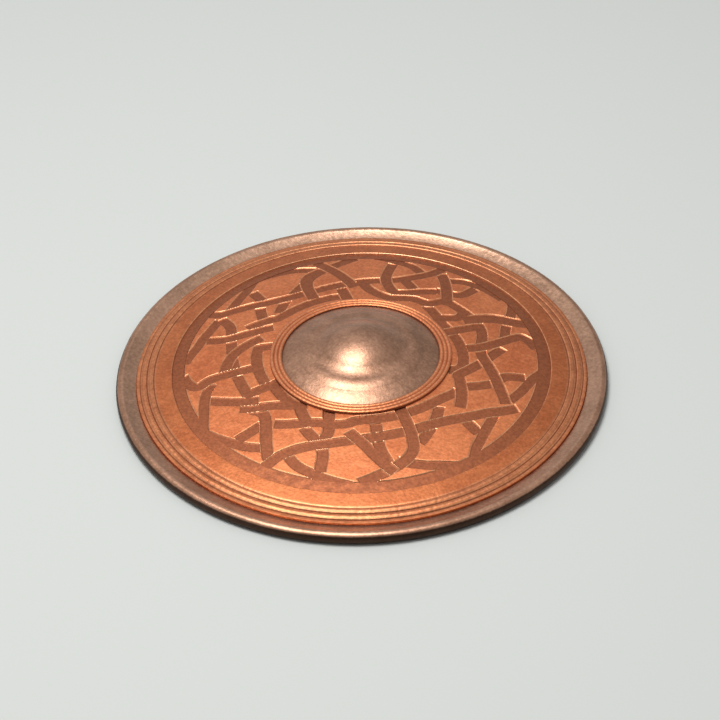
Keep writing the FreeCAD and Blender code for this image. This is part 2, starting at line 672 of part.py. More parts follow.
# Boss collar: three beads over the flange, stepping down to the plate
collar_top = f"({dome(COLLAR_OUTER)} + seat_gap + collar_edge_height)"
flange_cover = f"({BOSS_EDGE} + seat_gap)"
cover_low = f"({dome(COLLAR_INNER)} + 2 * seat_gap + boss_wall)"
lip_top = f"({cover_low} + collar_lip_height)"
bead_step = f"(({COLLAR_OUTER} - {COLLAR_INNER}) / {COLLAR_BEADS})"
bead_climb = f"(({lip_top} - {collar_top}) / {COLLAR_BEADS})"
collar_outline = [
    (COLLAR_INNER, cover_low),
    (flange_cover, f"({dome(flange_cover)} + 2 * seat_gap + boss_wall)"),
    (flange_cover, f"({dome(flange_cover)} + seat_gap)"),
    (COLLAR_OUTER, f"({dome(COLLAR_OUTER)} + seat_gap)"),
]
for index in range(COLLAR_BEADS):
    feet = [
        (f"({COLLAR_OUTER} - {side} * {bead_step})", f"({collar_top} + {side} * {bead_climb})")
        for side in (index, index + 1)
    ]
    collar_outline += bead_points(feet[0], feet[1], "collar_bead_height")
collar_outline.append((COLLAR_INNER, lip_top))
turned_body("boss_collar", collar_outline)

# Back ring: cast, dished on top to the plate's underside and flat below for the grip and lugs
ring_depth = "(plate_thickness + seat_gap)"
back_ring_blank = turned_body("boss_back_ring_blank", [
    (HOLE_RADIUS, SEAT_HEIGHT),
    (BACK_RING_RADIUS, SEAT_HEIGHT),
    (BACK_RING_RADIUS, dome(BACK_RING_RADIUS, ring_depth), dome_arc(ring_depth, 1)),
    (HOLE_RADIUS, dome(HOLE_RADIUS, ring_depth)),
])
ring_with_boss_holes = cut_from("boss_back_ring_drilled", back_ring_blank, boss_hole_tool)
cut_from("boss_back_ring", ring_with_boss_holes, ring_hole_tool)
set_shape("boss_rivets", Part.makeCompound([rivet(seat, flange_top, place) for place in boss_places]))

# Grip bar: a strip that drops from two lugs on the back ring to the hand
lug_start = f"({GRIP_END} - grip_lug_length)"
drop_end = "(grip_hand_length / 2)"
drop_start = f"({drop_end} + grip_drop_run)"
bar_side = [
    (GRIP_END, SEAT_HEIGHT),
    (drop_start, SEAT_HEIGHT),
    (drop_end, GRIP_TOP),
    (f"-{drop_end}", GRIP_TOP),
    (f"-{drop_start}", SEAT_HEIGHT),
    (f"-{GRIP_END}", SEAT_HEIGHT),
    (f"-{GRIP_END}", f"({SEAT_HEIGHT} - grip_bar_thickness)"),
    (f"-{drop_start}", f"({SEAT_HEIGHT} - grip_bar_thickness)"),
    (f"-{drop_end}", f"({GRIP_TOP} - grip_bar_thickness)"),
    (drop_end, f"({GRIP_TOP} - grip_bar_thickness)"),
    (drop_start, f"({SEAT_HEIGHT} - grip_bar_thickness)"),
    (GRIP_END, f"({SEAT_HEIGHT} - grip_bar_thickness)"),
]
bar_strip = padded_body("grip_bar_strip", "XZ_Plane", bar_side, "grip_lug_width")
shoulder = "((grip_lug_width - grip_bar_width) / 2)"
half_bar = "(grip_bar_width / 2)"
half_lug = "(grip_lug_width / 2)"
bar_plan = []
for side in (1, -1):
    bar_plan += [
        (f"({side}) * {lug_start}", f"-({side}) * {half_lug}"),
        (f"({side}) * {GRIP_END}", f"-({side}) * {half_lug}"),
        (f"({side}) * {GRIP_END}", f"({side}) * {half_lug}"),
        (f"({side}) * {lug_start}", f"({side}) * {half_lug}"),
        (f"({side}) * ({lug_start} - {shoulder})", f"({side}) * {half_bar}"),
        (f"-({side}) * ({lug_start} - {shoulder})", f"({side}) * {half_bar}"),
    ]
bar_shape = padded_body("grip_bar_plan", "XY_Plane", bar_plan, f"2 * {SEAT_HEIGHT}")
bar_common = doc.addObject("Part::Common", "grip_bar_common")
bar_common.Base = bar_strip
bar_common.Tool = bar_shape

pin_gap = value("grip_pin_radius + seat_gap")
pin_spacing = value("grip_pin_spacing")
scale_thickness = value("grip_scale_thickness")
low_top = value(GRIP_TOP)
low_under = low_top - value("grip_bar_thickness")
pin_holes = Part.makeCompound([
    Part.makeCylinder(pin_gap, 2 * low_top, Vector(x, 0, -low_top / 2))
    for x in (-pin_spacing, 0, pin_spacing)
])
pin_hole_tool = set_shape("grip_pin_holes", pin_holes)
bar_drilled = cut_from("grip_bar_drilled", bar_common, pin_hole_tool)
cut_from("grip_bar", bar_drilled, ring_hole_tool)
set_shape("grip_rivets", Part.makeCompound([rivet(bar_under, ring_top, place) for place in grip_places]))
pin_radius = value("grip_pin_radius")
pin_length = low_top - low_under + 2 * scale_thickness
set_shape("grip_pins", Part.makeCompound([
    Part.makeCylinder(pin_radius, pin_length, Vector(x, 0, low_under - scale_thickness))
    for x in (-pin_spacing, 0, pin_spacing)
]))


def grip_scale(label, low, high, round_high):
    """One half of the wooden grip: swelling sides, with its outer corners rounded."""
    half_length = value("grip_hand_length / 2 - seat_gap")
    half_end = value("grip_scale_waist / 2")
    half_middle = value("grip_scale_width / 2")
    corners = [(-half_length, -half_end), (half_length, -half_end), (half_length, half_end)]
    corners.append((-half_length, half_end))
    mids = [Vector(0, -half_middle, low), Vector(0, half_middle, low)]
    places = [Vector(x, y, low) for x, y in corners]
    edges = [
        Part.Arc(places[0], mids[0], places[1]).toShape(),
        Part.makeLine(places[1], places[2]),
        Part.Arc(places[2], mids[1], places[3]).toShape(),
        Part.makeLine(places[3], places[0]),
    ]
    block = Part.Face(Part.Wire(edges)).extrude(Vector(0, 0, high - low))
    outer = high if round_high else low
    level = [
        edge for edge in block.Edges
        if all(abs(vertex.Z - outer) < value("seat_gap") for vertex in edge.Vertexes)
    ]
    rounded = block.makeFillet(value("grip_scale_round"), level)
    return cut_from(label, set_shape(label + "_block", rounded), pin_hole_tool)


grip_scale("grip_scale_front", low_top, low_top + scale_thickness, True)
grip_scale("grip_scale_back", low_under - scale_thickness, low_under, False)

# Strap lugs: a foot riveted to the back ring, ending in a knuckle that the loop's bar turns in
lug_start_reach = f"({LOOP_AXIS_REACH} - lug_length)"
lug_low = f"({SEAT_HEIGHT} - lug_thickness)"
knuckle_rise = f"({lug_low} - {LOOP_AXIS_HEIGHT})"
knuckle_meet = f"({LOOP_AXIS_REACH} - {circle_reach(KNUCKLE_RADIUS, knuckle_rise)})"
knuckle = {"middle": (LOOP_AXIS_REACH, LOOP_AXIS_HEIGHT), "radius": KNUCKLE_RADIUS, "turn": 1}
lug_outline = [
    (lug_start_reach, SEAT_HEIGHT),
    (lug_start_reach, lug_low),
    (knuckle_meet, lug_low, knuckle),
    (LOOP_AXIS_REACH, SEAT_HEIGHT),
]
for side, turn in (("left", 0.0), ("right", 180.0)):
    blank = padded_body(f"strap_lug_{side}_blank", "YZ_Plane", lug_outline, "lug_width")
    blank.Placement = FreeCAD.Placement(Vector(), FreeCAD.Rotation(AXIS_UP, turn))
    sign = 1 if side == "left" else -1
    bore = doc.addObject("Part::Cylinder", f"strap_lug_{side}_bore")
    bore.setExpression("Radius", bind("loop_bar_radius + pivot_gap"))
    bore.setExpression("Height", bind("2 * lug_width"))
    bore.Placement.Rotation = FreeCAD.Rotation(Vector(0, 1, 0), 90)
    bore.setExpression("Placement.Base.x", bind("-lug_width"))
    bore.setExpression("Placement.Base.y", bind(f"({sign}) * {LOOP_AXIS_REACH}"))
    bore.setExpression("Placement.Base.z", bind(LOOP_AXIS_HEIGHT))
    bored = cut_from(f"strap_lug_{side}_bored", blank, bore)
    cut_from(f"strap_lug_{side}", bored, ring_hole_tool)
    set_shape(f"strap_lug_rivets_{side}", Part.makeCompound([
        rivet(lug_under, ring_top, place) for place in lug_places[side]
    ]))

    # Strap loop: a D with a round bar across its top, hanging straight down
    inside = "(lug_width / 2 + loop_side_gap)"
    outside = f"({inside} + loop_arm_width)"
    bow_middle = f"({LOOP_AXIS_HEIGHT} - loop_depth + {outside})"
    bow_top = f"({LOOP_AXIS_HEIGHT} + loop_bar_radius)"
    inner_bow = {"middle": ("0", bow_middle), "radius": inside, "turn": 1}
    outer_bow = {"middle": ("0", bow_middle), "radius": outside, "turn": -1}
    bow_outline = [
        (f"-{inside}", bow_top),
        (f"-{inside}", bow_middle, inner_bow),
        (inside, bow_middle),
        (inside, bow_top),
        (outside, bow_top),
        (outside, bow_middle, outer_bow),
        (f"-{outside}", bow_middle),
        (f"-{outside}", bow_top),
    ]
    bow = padded_body(f"strap_loop_{side}_bow", "XZ_Plane", bow_outline, "loop_thickness")
    bow.setExpression("Placement.Base.y", bind(f"({sign}) * {LOOP_AXIS_REACH}"))
    bar = doc.addObject("Part::Cylinder", f"strap_loop_{side}_bar")
    bar.setExpression("Radius", bind("loop_bar_radius"))
    bar.setExpression("Height", bind(f"2 * {inside} + loop_arm_width"))
    bar.Placement.Rotation = FreeCAD.Rotation(Vector(0, 1, 0), 90)
    bar.setExpression("Placement.Base.x", bind(f"-({inside} + loop_arm_width / 2)"))
    bar.setExpression("Placement.Base.y", bind(f"({sign}) * {LOOP_AXIS_REACH}"))
    bar.setExpression("Placement.Base.z", bind(LOOP_AXIS_HEIGHT))
    loop = doc.addObject("Part::Fuse", f"strap_loop_{side}")
    loop.Base = bow
    loop.Tool = bar
    loop.Label = f"strap_loop_{side}"

NODES = [
    "face_plate", "rim_binding", "rim_core", "boss_dome", "boss_collar", "boss_back_ring",
    "boss_rivets", "grip_bar", "grip_scale_front", "grip_scale_back", "grip_pins", "grip_rivets",
    "strap_lug_left", "strap_lug_right", "strap_lug_rivets_left", "strap_lug_rivets_right",
    "strap_loop_left", "strap_loop_right",
]
doc.recompute()
for item in doc.Objects:
    if "Invalid" in item.State or "Error" in item.State:
        raise RuntimeError(f"{item.Label} failed: {item.State}")
shapes = {}
for label in NODES:
    shape = doc.getObjectsByLabel(label)[0].Shape
    if shape.isNull() or not shape.isValid() or not shape.Solids:
        raise RuntimeError(f"{label} has no valid solid")
    shapes[label] = shape
os.makedirs("parts", exist_ok=True)
for label, shape in shapes.items():
    solids = shape.Solids
    kept = solids[0] if len(solids) == 1 else Part.makeCompound(solids)
    kept.exportStep(os.path.join("parts", label + ".step"))
    print(f"{label}: {len(solids)} solid(s), {kept.Volume / 1000:.1f} cm3")
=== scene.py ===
"""Looks of a round bronze shield: a chased copper-red face, a grey boss and a rolled grey rim.

Lengths are in metres and follow the CAD frame: the shield lies face up on the underside of its
rim, +Z is up and the origin is on its axis. Angles round the axis are measured from +X.
"""
import logging
import math
from dataclasses import dataclass, field
from enum import Enum
from typing import Optional, Sequence

import bpy
import numpy as np
from mathutils import Matrix, Vector


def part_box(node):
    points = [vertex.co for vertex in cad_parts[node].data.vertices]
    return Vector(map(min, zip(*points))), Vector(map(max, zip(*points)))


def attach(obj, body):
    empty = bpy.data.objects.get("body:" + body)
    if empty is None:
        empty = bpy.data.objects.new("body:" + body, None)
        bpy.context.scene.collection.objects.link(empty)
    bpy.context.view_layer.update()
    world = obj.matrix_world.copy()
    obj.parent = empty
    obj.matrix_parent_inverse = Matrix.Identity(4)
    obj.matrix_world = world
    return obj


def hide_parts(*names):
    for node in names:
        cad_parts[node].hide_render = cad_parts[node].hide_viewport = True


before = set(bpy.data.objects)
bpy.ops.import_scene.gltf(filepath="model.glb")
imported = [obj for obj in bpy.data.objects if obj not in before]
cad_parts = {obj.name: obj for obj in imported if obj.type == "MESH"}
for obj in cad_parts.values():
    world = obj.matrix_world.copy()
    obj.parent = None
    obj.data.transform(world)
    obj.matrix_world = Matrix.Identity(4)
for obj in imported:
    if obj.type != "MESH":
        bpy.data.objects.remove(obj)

Strand = Sequence[tuple[float, ...]]
Pair = tuple[float, float]
Triple = tuple[float, float, float]
Marks = dict[str, np.ndarray]
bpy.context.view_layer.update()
MM = 0.001
SEAT_GAP = 0.15 * MM
RAISED_WALL = 1.2 * MM
BEAD_POWER = 0.7
PHASE_STEP = 2.399
LOG = logging.getLogger("bronze_shield")
BODY = "shield"


class Quality(Enum):
    """How finely a turned piece is divided round the axis."""

    SMALL = 48
    MEDIUM = 384
    LARGE = 900


class Side(Enum):
    """A side of the shield, with the sign of its Y."""

    LEFT = 1
    RIGHT = -1

    def label(self) -> str:
        """The side's name as it stands in the names of pieces."""
        return self.name.lower()


class Tone(Enum):
    """sRGB colours of the metals, woods and floor, as seen in daylight."""

    COPPER = "DC8455"
    COPPER_LIGHT = "E8996A"
    COPPER_DEEP = "CC7348"
    # Pale rubbed copper, partly a painted highlight on edges and crests
    COPPER_WEAR_AND_HIGHLIGHT = "FFD3A6"
    COPPER_BAND = "C8774A"
    COPPER_BAND_DEEP = "B8673E"
    PATINA = "92563A"
    GREY_BRONZE = "BA8D73"
    GREY_BRONZE_LIGHT = "CB9E84"
    GREY_BRONZE_DEEP = "A0775F"
    # Pale rubbed grey bronze, partly a painted sheen on the rim's flange
    GREY_BRONZE_WEAR_AND_SHEEN = "E6C2A6"
    # Dark grey film, also laid as painted shade low on the rim's bead and in the boss's valley and
    # foot
    GREY_PATINA_AND_SHADE = "33251E"
    CAST_BRONZE = "8A6044"
    CAST_BRONZE_DEEP = "6E4A36"
    CAST_BRONZE_WORN = "B98A66"
    CAST_PATINA = "4C3426"
    RIVET = "A9744C"
    RIVET_LIGHT = "C08A5E"
    WOOD = "6B4226"
    WOOD_DARK = "3A2213"
    ASH = "B08F63"
    FLOOR = "C9CCC8"


def linear(tone: Tone) -> tuple[float, float, float, float]:
    """Turn an sRGB hex colour into linear colour.

    Args:
        tone: the colour, whose value is six hex digits with red first.

    Returns:
        Red, green, blue and an alpha of 1.
    """
    values = np.array([int(tone.value[i:i + 2], 16) / 255 for i in (0, 2, 4)])
    bent = np.where(values <= 0.04045, values / 12.92, ((values + 0.055) / 1.055) ** 2.4)
    return (*bent.tolist(), 1.0)


def add_node(
    tree: bpy.types.NodeTree,
    kind: str,
    inputs: Optional[dict] = None,
    output: int | str = 0,
    **settings: object,
) -> Optional[bpy.types.NodeSocket]:
    """Add a node, set its properties, fill or link its inputs and give one of its outputs.

    Args:
        tree: the node tree.
        kind: the node's type name, without the ShaderNode in front.
        inputs: input names or numbers, with a value or an output socket to link.
        output: the name or number of the output to give.
        settings: property names and values.

    Returns:
        The output's socket, or None from a node that has no outputs.
    """
    node = tree.nodes.new("ShaderNode" + kind)
    for name, value in settings.items():
        setattr(node, name, value)
    for name, value in (inputs or {}).items():
        if isinstance(value, bpy.types.NodeSocket):
            tree.links.new(value, node.inputs[name])
        else:
            node.inputs[name].default_value = value
    return node.outputs[output] if len(node.outputs) else None


def new_material(name: str) -> tuple[bpy.types.Material, bpy.types.NodeTree]:
    """Make an empty material.

    Args:
        name: the material's name.

    Returns:
        The material and its node tree.
    """
    material = bpy.data.materials.new(name)
    material.use_nodes = True
    material.node_tree.nodes.clear()
    return material, material.node_tree


@dataclass(frozen=True)
class Bronze:
    """A bronze surface: blotched colour, worn edges and dark hollows, partly painted light and shade,
    and a cast grain.

    The eye sees a soft metal sheen that breaks up over faint stains a few centimetres wide. A
    brown film stays in hollows, where polishing does not reach, and edges are rubbed bright;
    on the face, collar and rim the pale rubbed colour is partly a painted highlight. The mesh
    marks where it is hollow and where it is worn; on the rim's outer side and in the boss's
    valley and foot the hollow mark also lays painted shade.
    """

    name: str
    base: Tone
    light: Tone
    deep: Tone
    film: Tone
    worn: Tone
    roughness: float
    blotch_mm: float
    grain_mm: float
    grain_depth_mm: float
    stains_per_blotch: float = 6.0
    stain_share: float = 0.35
    metallic: float = 0.85
    film_share: float = 0.92
    film_spread: float = 0.5
    film_roughness: float = 0.12
    wear_and_highlight_share: float = 0.6
    worn_polish: float = 0.14
    hammer_mm: float = 9.0
    hammer_depth_mm: float = 0.0
    speck: float = 0.15

    def build(self) -> bpy.types.Material:
        """Build the material.

        Returns:
            The finished material.
        """
        material, tree = new_material(self.name)
        place = add_node(tree, "TexCoord", output="Object")
        hollow, worn = (
            add_node(tree, "Attribute", output="Fac", attribute_name=mark)
            for mark in ("hollow", "worn")
        )
        # Each pattern by the width of its blotches, its finer layers, their strength and its warp
        blotch, stain, grain, dents = (
            add_node(tree, "TexNoise", {
                "Vector": place, "Scale": 1 / (size_mm * MM), "Detail": detail,
                "Roughness": rough, "Distortion": warp,
            })
            for size_mm, detail, rough, warp in (
                (self.blotch_mm, 4.0, 0.55, 0.3),
                (self.blotch_mm / self.stains_per_blotch, 4.0, 0.6, 0.0),
                (self.grain_mm, 3.0, 0.6, 0.0),
                (self.hammer_mm, 1.0, 0.4, 0.0),
            )
        )
        uneven = add_node(tree, "Math", {
            0: stain, 1: self.film_spread, 2: -self.film_spread / 2,
        }, operation="MULTIPLY_ADD")
        patchy = add_node(tree, "Math", {0: hollow, 1: uneven}, operation="ADD")
        # Each row eases a value from the first range to the second
        mottled, lighter, filmed, hollowed, patchy_wear_and_highlight, specks, rough = (
            add_node(tree, "MapRange", dict(enumerate(row)), interpolation_type="SMOOTHSTEP")
            for row in (
                (blotch, 0.3, 0.7, 0.0, 1.0),
                (stain, 0.45, 0.8, 0.0, self.stain_share),
                (patchy, 0.45, 0.95, 0.0, 1.0),
                (hollow, 0.1, 0.4, 0.0, 1.0),
                (stain, 0.25, 0.55, 0.3, self.wear_and_highlight_share),
                (grain, 0.3, 0.7, 1 - self.speck, 1 + self.speck),
                (stain, 0.3, 0.7, self.roughness - 0.03, self.roughness + 0.05),
            )
        )
        sunk = add_node(tree, "Math", {0: filmed, 1: hollowed}, operation="MULTIPLY")
        film = add_node(tree, "Math", {0: sunk, 1: self.film_share}, operation="MULTIPLY")
        wear_and_highlight = add_node(tree, "Math", {0: worn, 1: patchy_wear_and_highlight}, operation="MULTIPLY")
        # The film colour also lays painted shade where a piece marks it, and the pale worn colour is
        # partly a painted highlight on edges and crests
        colour = linear(self.deep)
        layers = (
            (mottled, self.base), (lighter, self.light), (film, self.film), (wear_and_highlight, self.worn)
        )
        for share, tone in layers:
            blend = {0: share, 6: colour, 7: linear(tone)}
            colour = add_node(tree, "Mix", blend, 2, data_type="RGBA")
        tint = add_node(tree, "VectorMath", {0: colour, "Scale": specks}, operation="SCALE")
        for share, change in ((sunk, self.film_roughness), (worn, -self.worn_polish)):
            sum_of = {0: share, 1: change, 2: rough}
            rough = add_node(tree, "Math", sum_of, operation="MULTIPLY_ADD")
        height = 0.0
        for pattern, depth_mm in ((grain, self.grain_depth_mm), (dents, self.hammer_depth_mm)):
            sum_of = {0: pattern, 1: depth_mm * MM, 2: height}
            height = add_node(tree, "Math", sum_of, operation="MULTIPLY_ADD")
        bump = add_node(tree, "Bump", {"Height": height, "Distance": 1.0, "Strength": 1.0})
        surface = add_node(tree, "BsdfPrincipled", {
            "Base Color": tint, "Metallic": self.metallic, "Roughness": rough, "Normal": bump,
        })
        add_node(tree, "OutputMaterial", {"Surface": surface})
        return material


@dataclass(frozen=True)
class OiledWood:
    """Oiled wood with its grain along X: dark lines 2 mm apart, wavy, with a low sheen."""

    name: str
    base: Tone
    dark: Tone
    line_mm: float = 2.2
    line_depth_mm: float = 0.12
    lines_per_figure: float = 6.0
    stretch: float = 14.0
    roughness: float = 0.48

    def build(self) -> bpy.types.Material:
        """Build the material.

        Returns:
            The finished material.
        """
        material, tree = new_material(self.name)
        place = add_node(tree, "TexCoord", output="Object")
        along = add_node(tree, "Mapping", {
            "Vector": place, "Scale": (1 / self.stretch, 1.0, 1.0),
        })
        # The fine dark lines and the wider figure, then where each turns from dark to light
        lines, figure = (
            add_node(tree, "TexNoise", {
                "Vector": along, "Scale": 1 / (size_mm * MM), "Detail": detail,
                "Roughness": rough, "Distortion": warp,
            })
            for size_mm, detail, rough, warp in (
                (self.line_mm, 3.0, 0.6, 0.6),
                (self.line_mm * self.lines_per_figure, 2.0, 0.5, 1.0),
            )
        )
        light, patch = (
            add_node(tree, "MapRange", dict(enumerate(row)), interpolation_type="SMOOTHSTEP")
            for row in ((lines, 0.35, 0.65), (figure, 0.3, 0.6))
        )
        share = add_node(tree, "Math", {0: light, 1: patch}, operation="MULTIPLY")
        blend = {0: share, 6: linear(self.dark), 7: linear(self.base)}
        colour = add_node(tree, "Mix", blend, 2, data_type="RGBA")
        depth = {0: lines, 1: self.line_depth_mm * MM}
        height = add_node(tree, "Math", depth, operation="MULTIPLY")
        surface = add_node(tree, "BsdfPrincipled", {
            "Base Color": colour, "Roughness": self.roughness,
            "Normal": add_node(tree, "Bump", {"Height": height, "Distance": 1.0}),
        })
        add_node(tree, "OutputMaterial", {"Surface": surface})
        return material


def build_mesh(
    name: str,
    points: np.ndarray,
    faces: Sequence[np.ndarray],
    marks: Optional[Marks] = None,
    crease_deg: float = 42.0,
) -> bpy.types.Object:
    """Put vertices and faces into a new object, facing outwards and smooth between creases.

    The volume is a sixth of the sum of a . (b x c) over each face's fan of triangles. Where it
    is below zero, every face is turned over.

    Args:
        name: the piece's name.
        points: an N by 3 array of places.
        faces: arrays of vertex numbers, one row to a face.
        marks: named shares, one to a vertex, for the finish to read.
        crease_deg: edges that turn by more than this stay sharp.

    Returns:
        The new object, at the origin.
    """
    fans = [points[block] for block in faces]
    if sum(np.sum(fan[:, :1] * np.cross(fan[:, 1:-1], fan[:, 2:])) for fan in fans) < 0:
        faces = [block[:, ::-1] for block in faces]
    mesh = bpy.data.meshes.new(name)
    mesh.vertices.add(len(points))
    mesh.vertices.foreach_set("co", points.astype(np.float32).ravel())
    corners = np.concatenate([block.ravel() for block in faces])
    totals = np.concatenate([np.full(len(block), block.shape[1]) for block in faces])
    starts = np.concatenate([[0], np.cumsum(totals)[:-1]])
    mesh.loops.add(len(corners))
    mesh.loops.foreach_set("vertex_index", corners.astype(np.int32))
    mesh.polygons.add(len(totals))
    mesh.polygons.foreach_set("loop_start", starts.astype(np.int32))
    mesh.polygons.foreach_set("use_smooth", np.ones(len(totals), dtype=bool))
    mesh.update(calc_edges=True)
    for mark, values in (marks or {}).items():
        layer = mesh.attributes.new(mark, "FLOAT", "POINT")
        layer.data.foreach_set("value", values.astype(np.float32).ravel())
    mesh.set_sharp_from_angle(angle=math.radians(crease_deg))
    piece = bpy.data.objects.new(name, mesh)
    bpy.context.scene.collection.objects.link(piece)
    return piece


def grid_faces(rows: int, columns: int, wrap_rows: bool, wrap_columns: bool) -> np.ndarray:
    """Vertex numbers of the four-sided faces of a grid.

    Args:
        rows: number of rows of points.
        columns: number of points in a row.
        wrap_rows: whether the last row joins the first.
        wrap_columns: whether each row is closed.

    Returns:
        An array of faces, four numbers to a row.
    """
    row = np.arange(rows if wrap_rows else rows - 1)[:, None]
    column = np.arange(columns if wrap_columns else columns - 1)[None, :]
    next_row, next_column = (row + 1) % rows, (column + 1) % columns
    faces = [row * columns + column, row * columns + next_column]
    faces += [next_row * columns + next_column, next_row * columns + column]
    return np.stack(np.broadcast_arrays(*faces), axis=-1).reshape(-1, 4)


def full_turn(steps: int) -> np.ndarray:
    """Evenly spaced angles once round the axis, as a column."""
    return np.linspace(0, 2 * np.pi, steps, endpoint=False)[:, None]


def spots(x: np.ndarray, y: np.ndarray, z: np.ndarray) -> np.ndarray:
    """Places from three arrays that broadcast together, with x, y and z along the last axis."""
    return np.stack(np.broadcast_arrays(x, y, z), axis=-1)


def hump(place: np.ndarray, middle: float, width: float) -> np.ndarray:
    """A smooth hump one high: exp(-((p - m) / w)^2)."""
    return np.exp(-((place - middle) / width) ** 2)


def stepped(stops: Sequence[float], counts: Sequence[int]) -> np.ndarray:
    """Places through a row of stops, with even steps between each pair.

    Args:
        stops: the places to pass through.
        counts: number of steps between each stop and the next.

    Returns:
        Every place in order, with the last stop.
    """
    runs = [
        np.linspace(start, end, count, endpoint=False)
        for start, end, count in zip(stops, stops[1:], counts)
    ]
    return np.append(np.concatenate(runs), stops[-1])


def turned(
    name: str,
    radius: np.ndarray,
    height: np.ndarray,
    steps: int,
    marks: Optional[Marks] = None,
) -> bpy.types.Object:
    """A closed section turned once round the axis.

    Point (i, j) is (r cos a, r sin a, z) for angle i and section point j. The section may vary
    with the angle: radius and height are then arrays of angle by section point.

    Args:
        name: the piece's name.
        radius: distances from the axis.
        height: heights.
        steps: number of angles.
        marks: named shares along the section, for the finish to read.

    Returns:
        The piece.
    """
    angle = full_turn(steps)
    points = spots(radius * np.cos(angle), radius * np.sin(angle), height)
    count = points.shape[1]
    spread = {mark: values + 0 * angle for mark, values in (marks or {}).items()}
    return build_mesh(name, points.reshape(-1, 3), [grid_faces(steps, count, True, True)], spread)


def cap_arrays(
    radius: np.ndarray, height: np.ndarray, steps: int
) -> tuple[np.ndarray, list[np.ndarray]]:
    """Points and faces of a section that starts and ends on the axis, turned once.

    Args:
        radius: distances from the axis, zero at both ends.
        height: heights.
        steps: number of angles.

    Returns:
        The points, with the two poles last, and the faces.
    """
    angle = full_turn(steps)
    reach = radius[None, 1:-1]
    points = spots(reach * np.cos(angle), reach * np.sin(angle), height[None, 1:-1])
    count = points.shape[1]
    poles = np.array([[0, 0, height[0]], [0, 0, height[-1]]])
    here = np.arange(steps) * count
    there = np.roll(here, -1)
    end = count - 1
    first = spots(here, there, np.array(steps * count))
    last = spots(there + end, here + end, np.array(steps * count + 1))
    faces = [grid_faces(steps, count, True, False), first, last]
    return np.concatenate([points.reshape(-1, 3), poles]), faces


def turned_cap(
    name: str,
    radius: np.ndarray,
    height: np.ndarray,
    steps: int,
    marks: Optional[Marks] = None,
    places: Sequence[Pair] = ((0.0, 0.0),),
) -> bpy.types.Object:
    """A section that starts and ends on its axis, turned once, at one or more places.

    Args:
        name: the piece's name.
        radius: distances from the axis, zero at both ends.
        height: heights.
        steps: number of angles.
        marks: named shares along the section, for the finish to read.
        places: where its axis stands, as x and y.

    Returns:
        The piece.
    """
    points, faces = cap_arrays(radius, height, steps)
    shift = np.array([(*place, 0.0) for place in places])
    first = np.arange(len(shift))[:, None, None] * len(points)
    spread = {
        mark: np.tile(np.append(np.tile(values[1:-1], steps), values[[0, -1]]), len(shift))
        for mark, values in (marks or {}).items()
    }
    everywhere = (points[None] + shift[:, None]).reshape(-1, 3)
    copies = [(block[None] + first).reshape(-1, block.shape[1]) for block in faces]
    return build_mesh(name, everywhere, copies, spread)


def lofted(name: str, sections: np.ndarray, marks: Optional[Marks] = None) -> bpy.types.Object:
    """A piece through a row of closed sections, with flat ends.

    Args:
        name: the piece's name.
        sections: places by section, point and axis.
        marks: named shares, by section and point.

    Returns:
        The piece.
    """
    rows, count = sections.shape[:2]
    faces = [grid_faces(rows, count, False, True)]
    faces.append(np.arange(count)[None, ::-1])
    faces.append(np.arange(count)[None, :] + (rows - 1) * count)
    return build_mesh(name, sections.reshape(-1, 3), faces, marks)


def soft_box(
    half_width: np.ndarray, half_height: np.ndarray, corner: np.ndarray, steps: int = 6
) -> tuple[np.ndarray, np.ndarray]:
    """Rectangles with round corners: (w - q) sign + q cos t across, (h - q) sign + q sin t up.

    Args:
        half_width: w, one for each section.
        half_height: h, one for each section.
        corner: q, the corners' radius, one for each section.
        steps: points to a corner, less one.

    Returns:
        Places across and up, by section and point.
    """
    quarter = np.linspace(0, np.pi / 2, steps + 1)
    turn = (quarter + np.pi / 2 * np.arange(4)[:, None]).ravel()
    side_x = np.repeat([1.0, -1.0, -1.0, 1.0], steps + 1)
    side_y = np.repeat([1.0, 1.0, -1.0, -1.0], steps + 1)
    width, height, bend = half_width[:, None], half_height[:, None], corner[:, None]
    across = (width - bend) * side_x + bend * np.cos(turn)
    up = (height - bend) * side_y + bend * np.sin(turn)
    return across, up


def smooth_line(knots: Sequence[Pair], at: np.ndarray) -> np.ndarray:
    """A smooth curve through knots: a cubic with the slopes of neighbouring knots.

    Args:
        knots: (place, value) pairs in rising order of place.
        at: places to read.

    Returns:
        The values there.
    """
    x, y = np.array(knots, dtype=float).T
    slope = np.gradient(y, x)
    index = np.clip(np.searchsorted(x, at) - 1, 0, len(x) - 2)
    width = x[index + 1] - x[index]
    share = np.clip((at - x[index]) / width, 0, 1)
    square, cube = share ** 2, share ** 3
    return (
        (2 * cube - 3 * square + 1) * y[index]
        + (cube - 2 * square + share) * width * slope[index]
        + (3 * square - 2 * cube) * y[index + 1]
        + (cube - square) * width * slope[index + 1]
    )


def wobble(angle: np.ndarray, waves: Sequence[tuple[int, float]]) -> np.ndarray:
    """A gentle closed wave round the axis, as a sum of sines.

    Each sine starts a phase step after the one before, so that their crests don't line up.

    Args:
        angle: angles in radians.
        waves: (number of periods, size) pairs.

    Returns:
        The wave at each angle.
    """
    phase = np.arange(len(waves)) * PHASE_STEP
    return sum(size * np.sin(count * angle + shift) for (count, size), shift in zip(waves, phase))


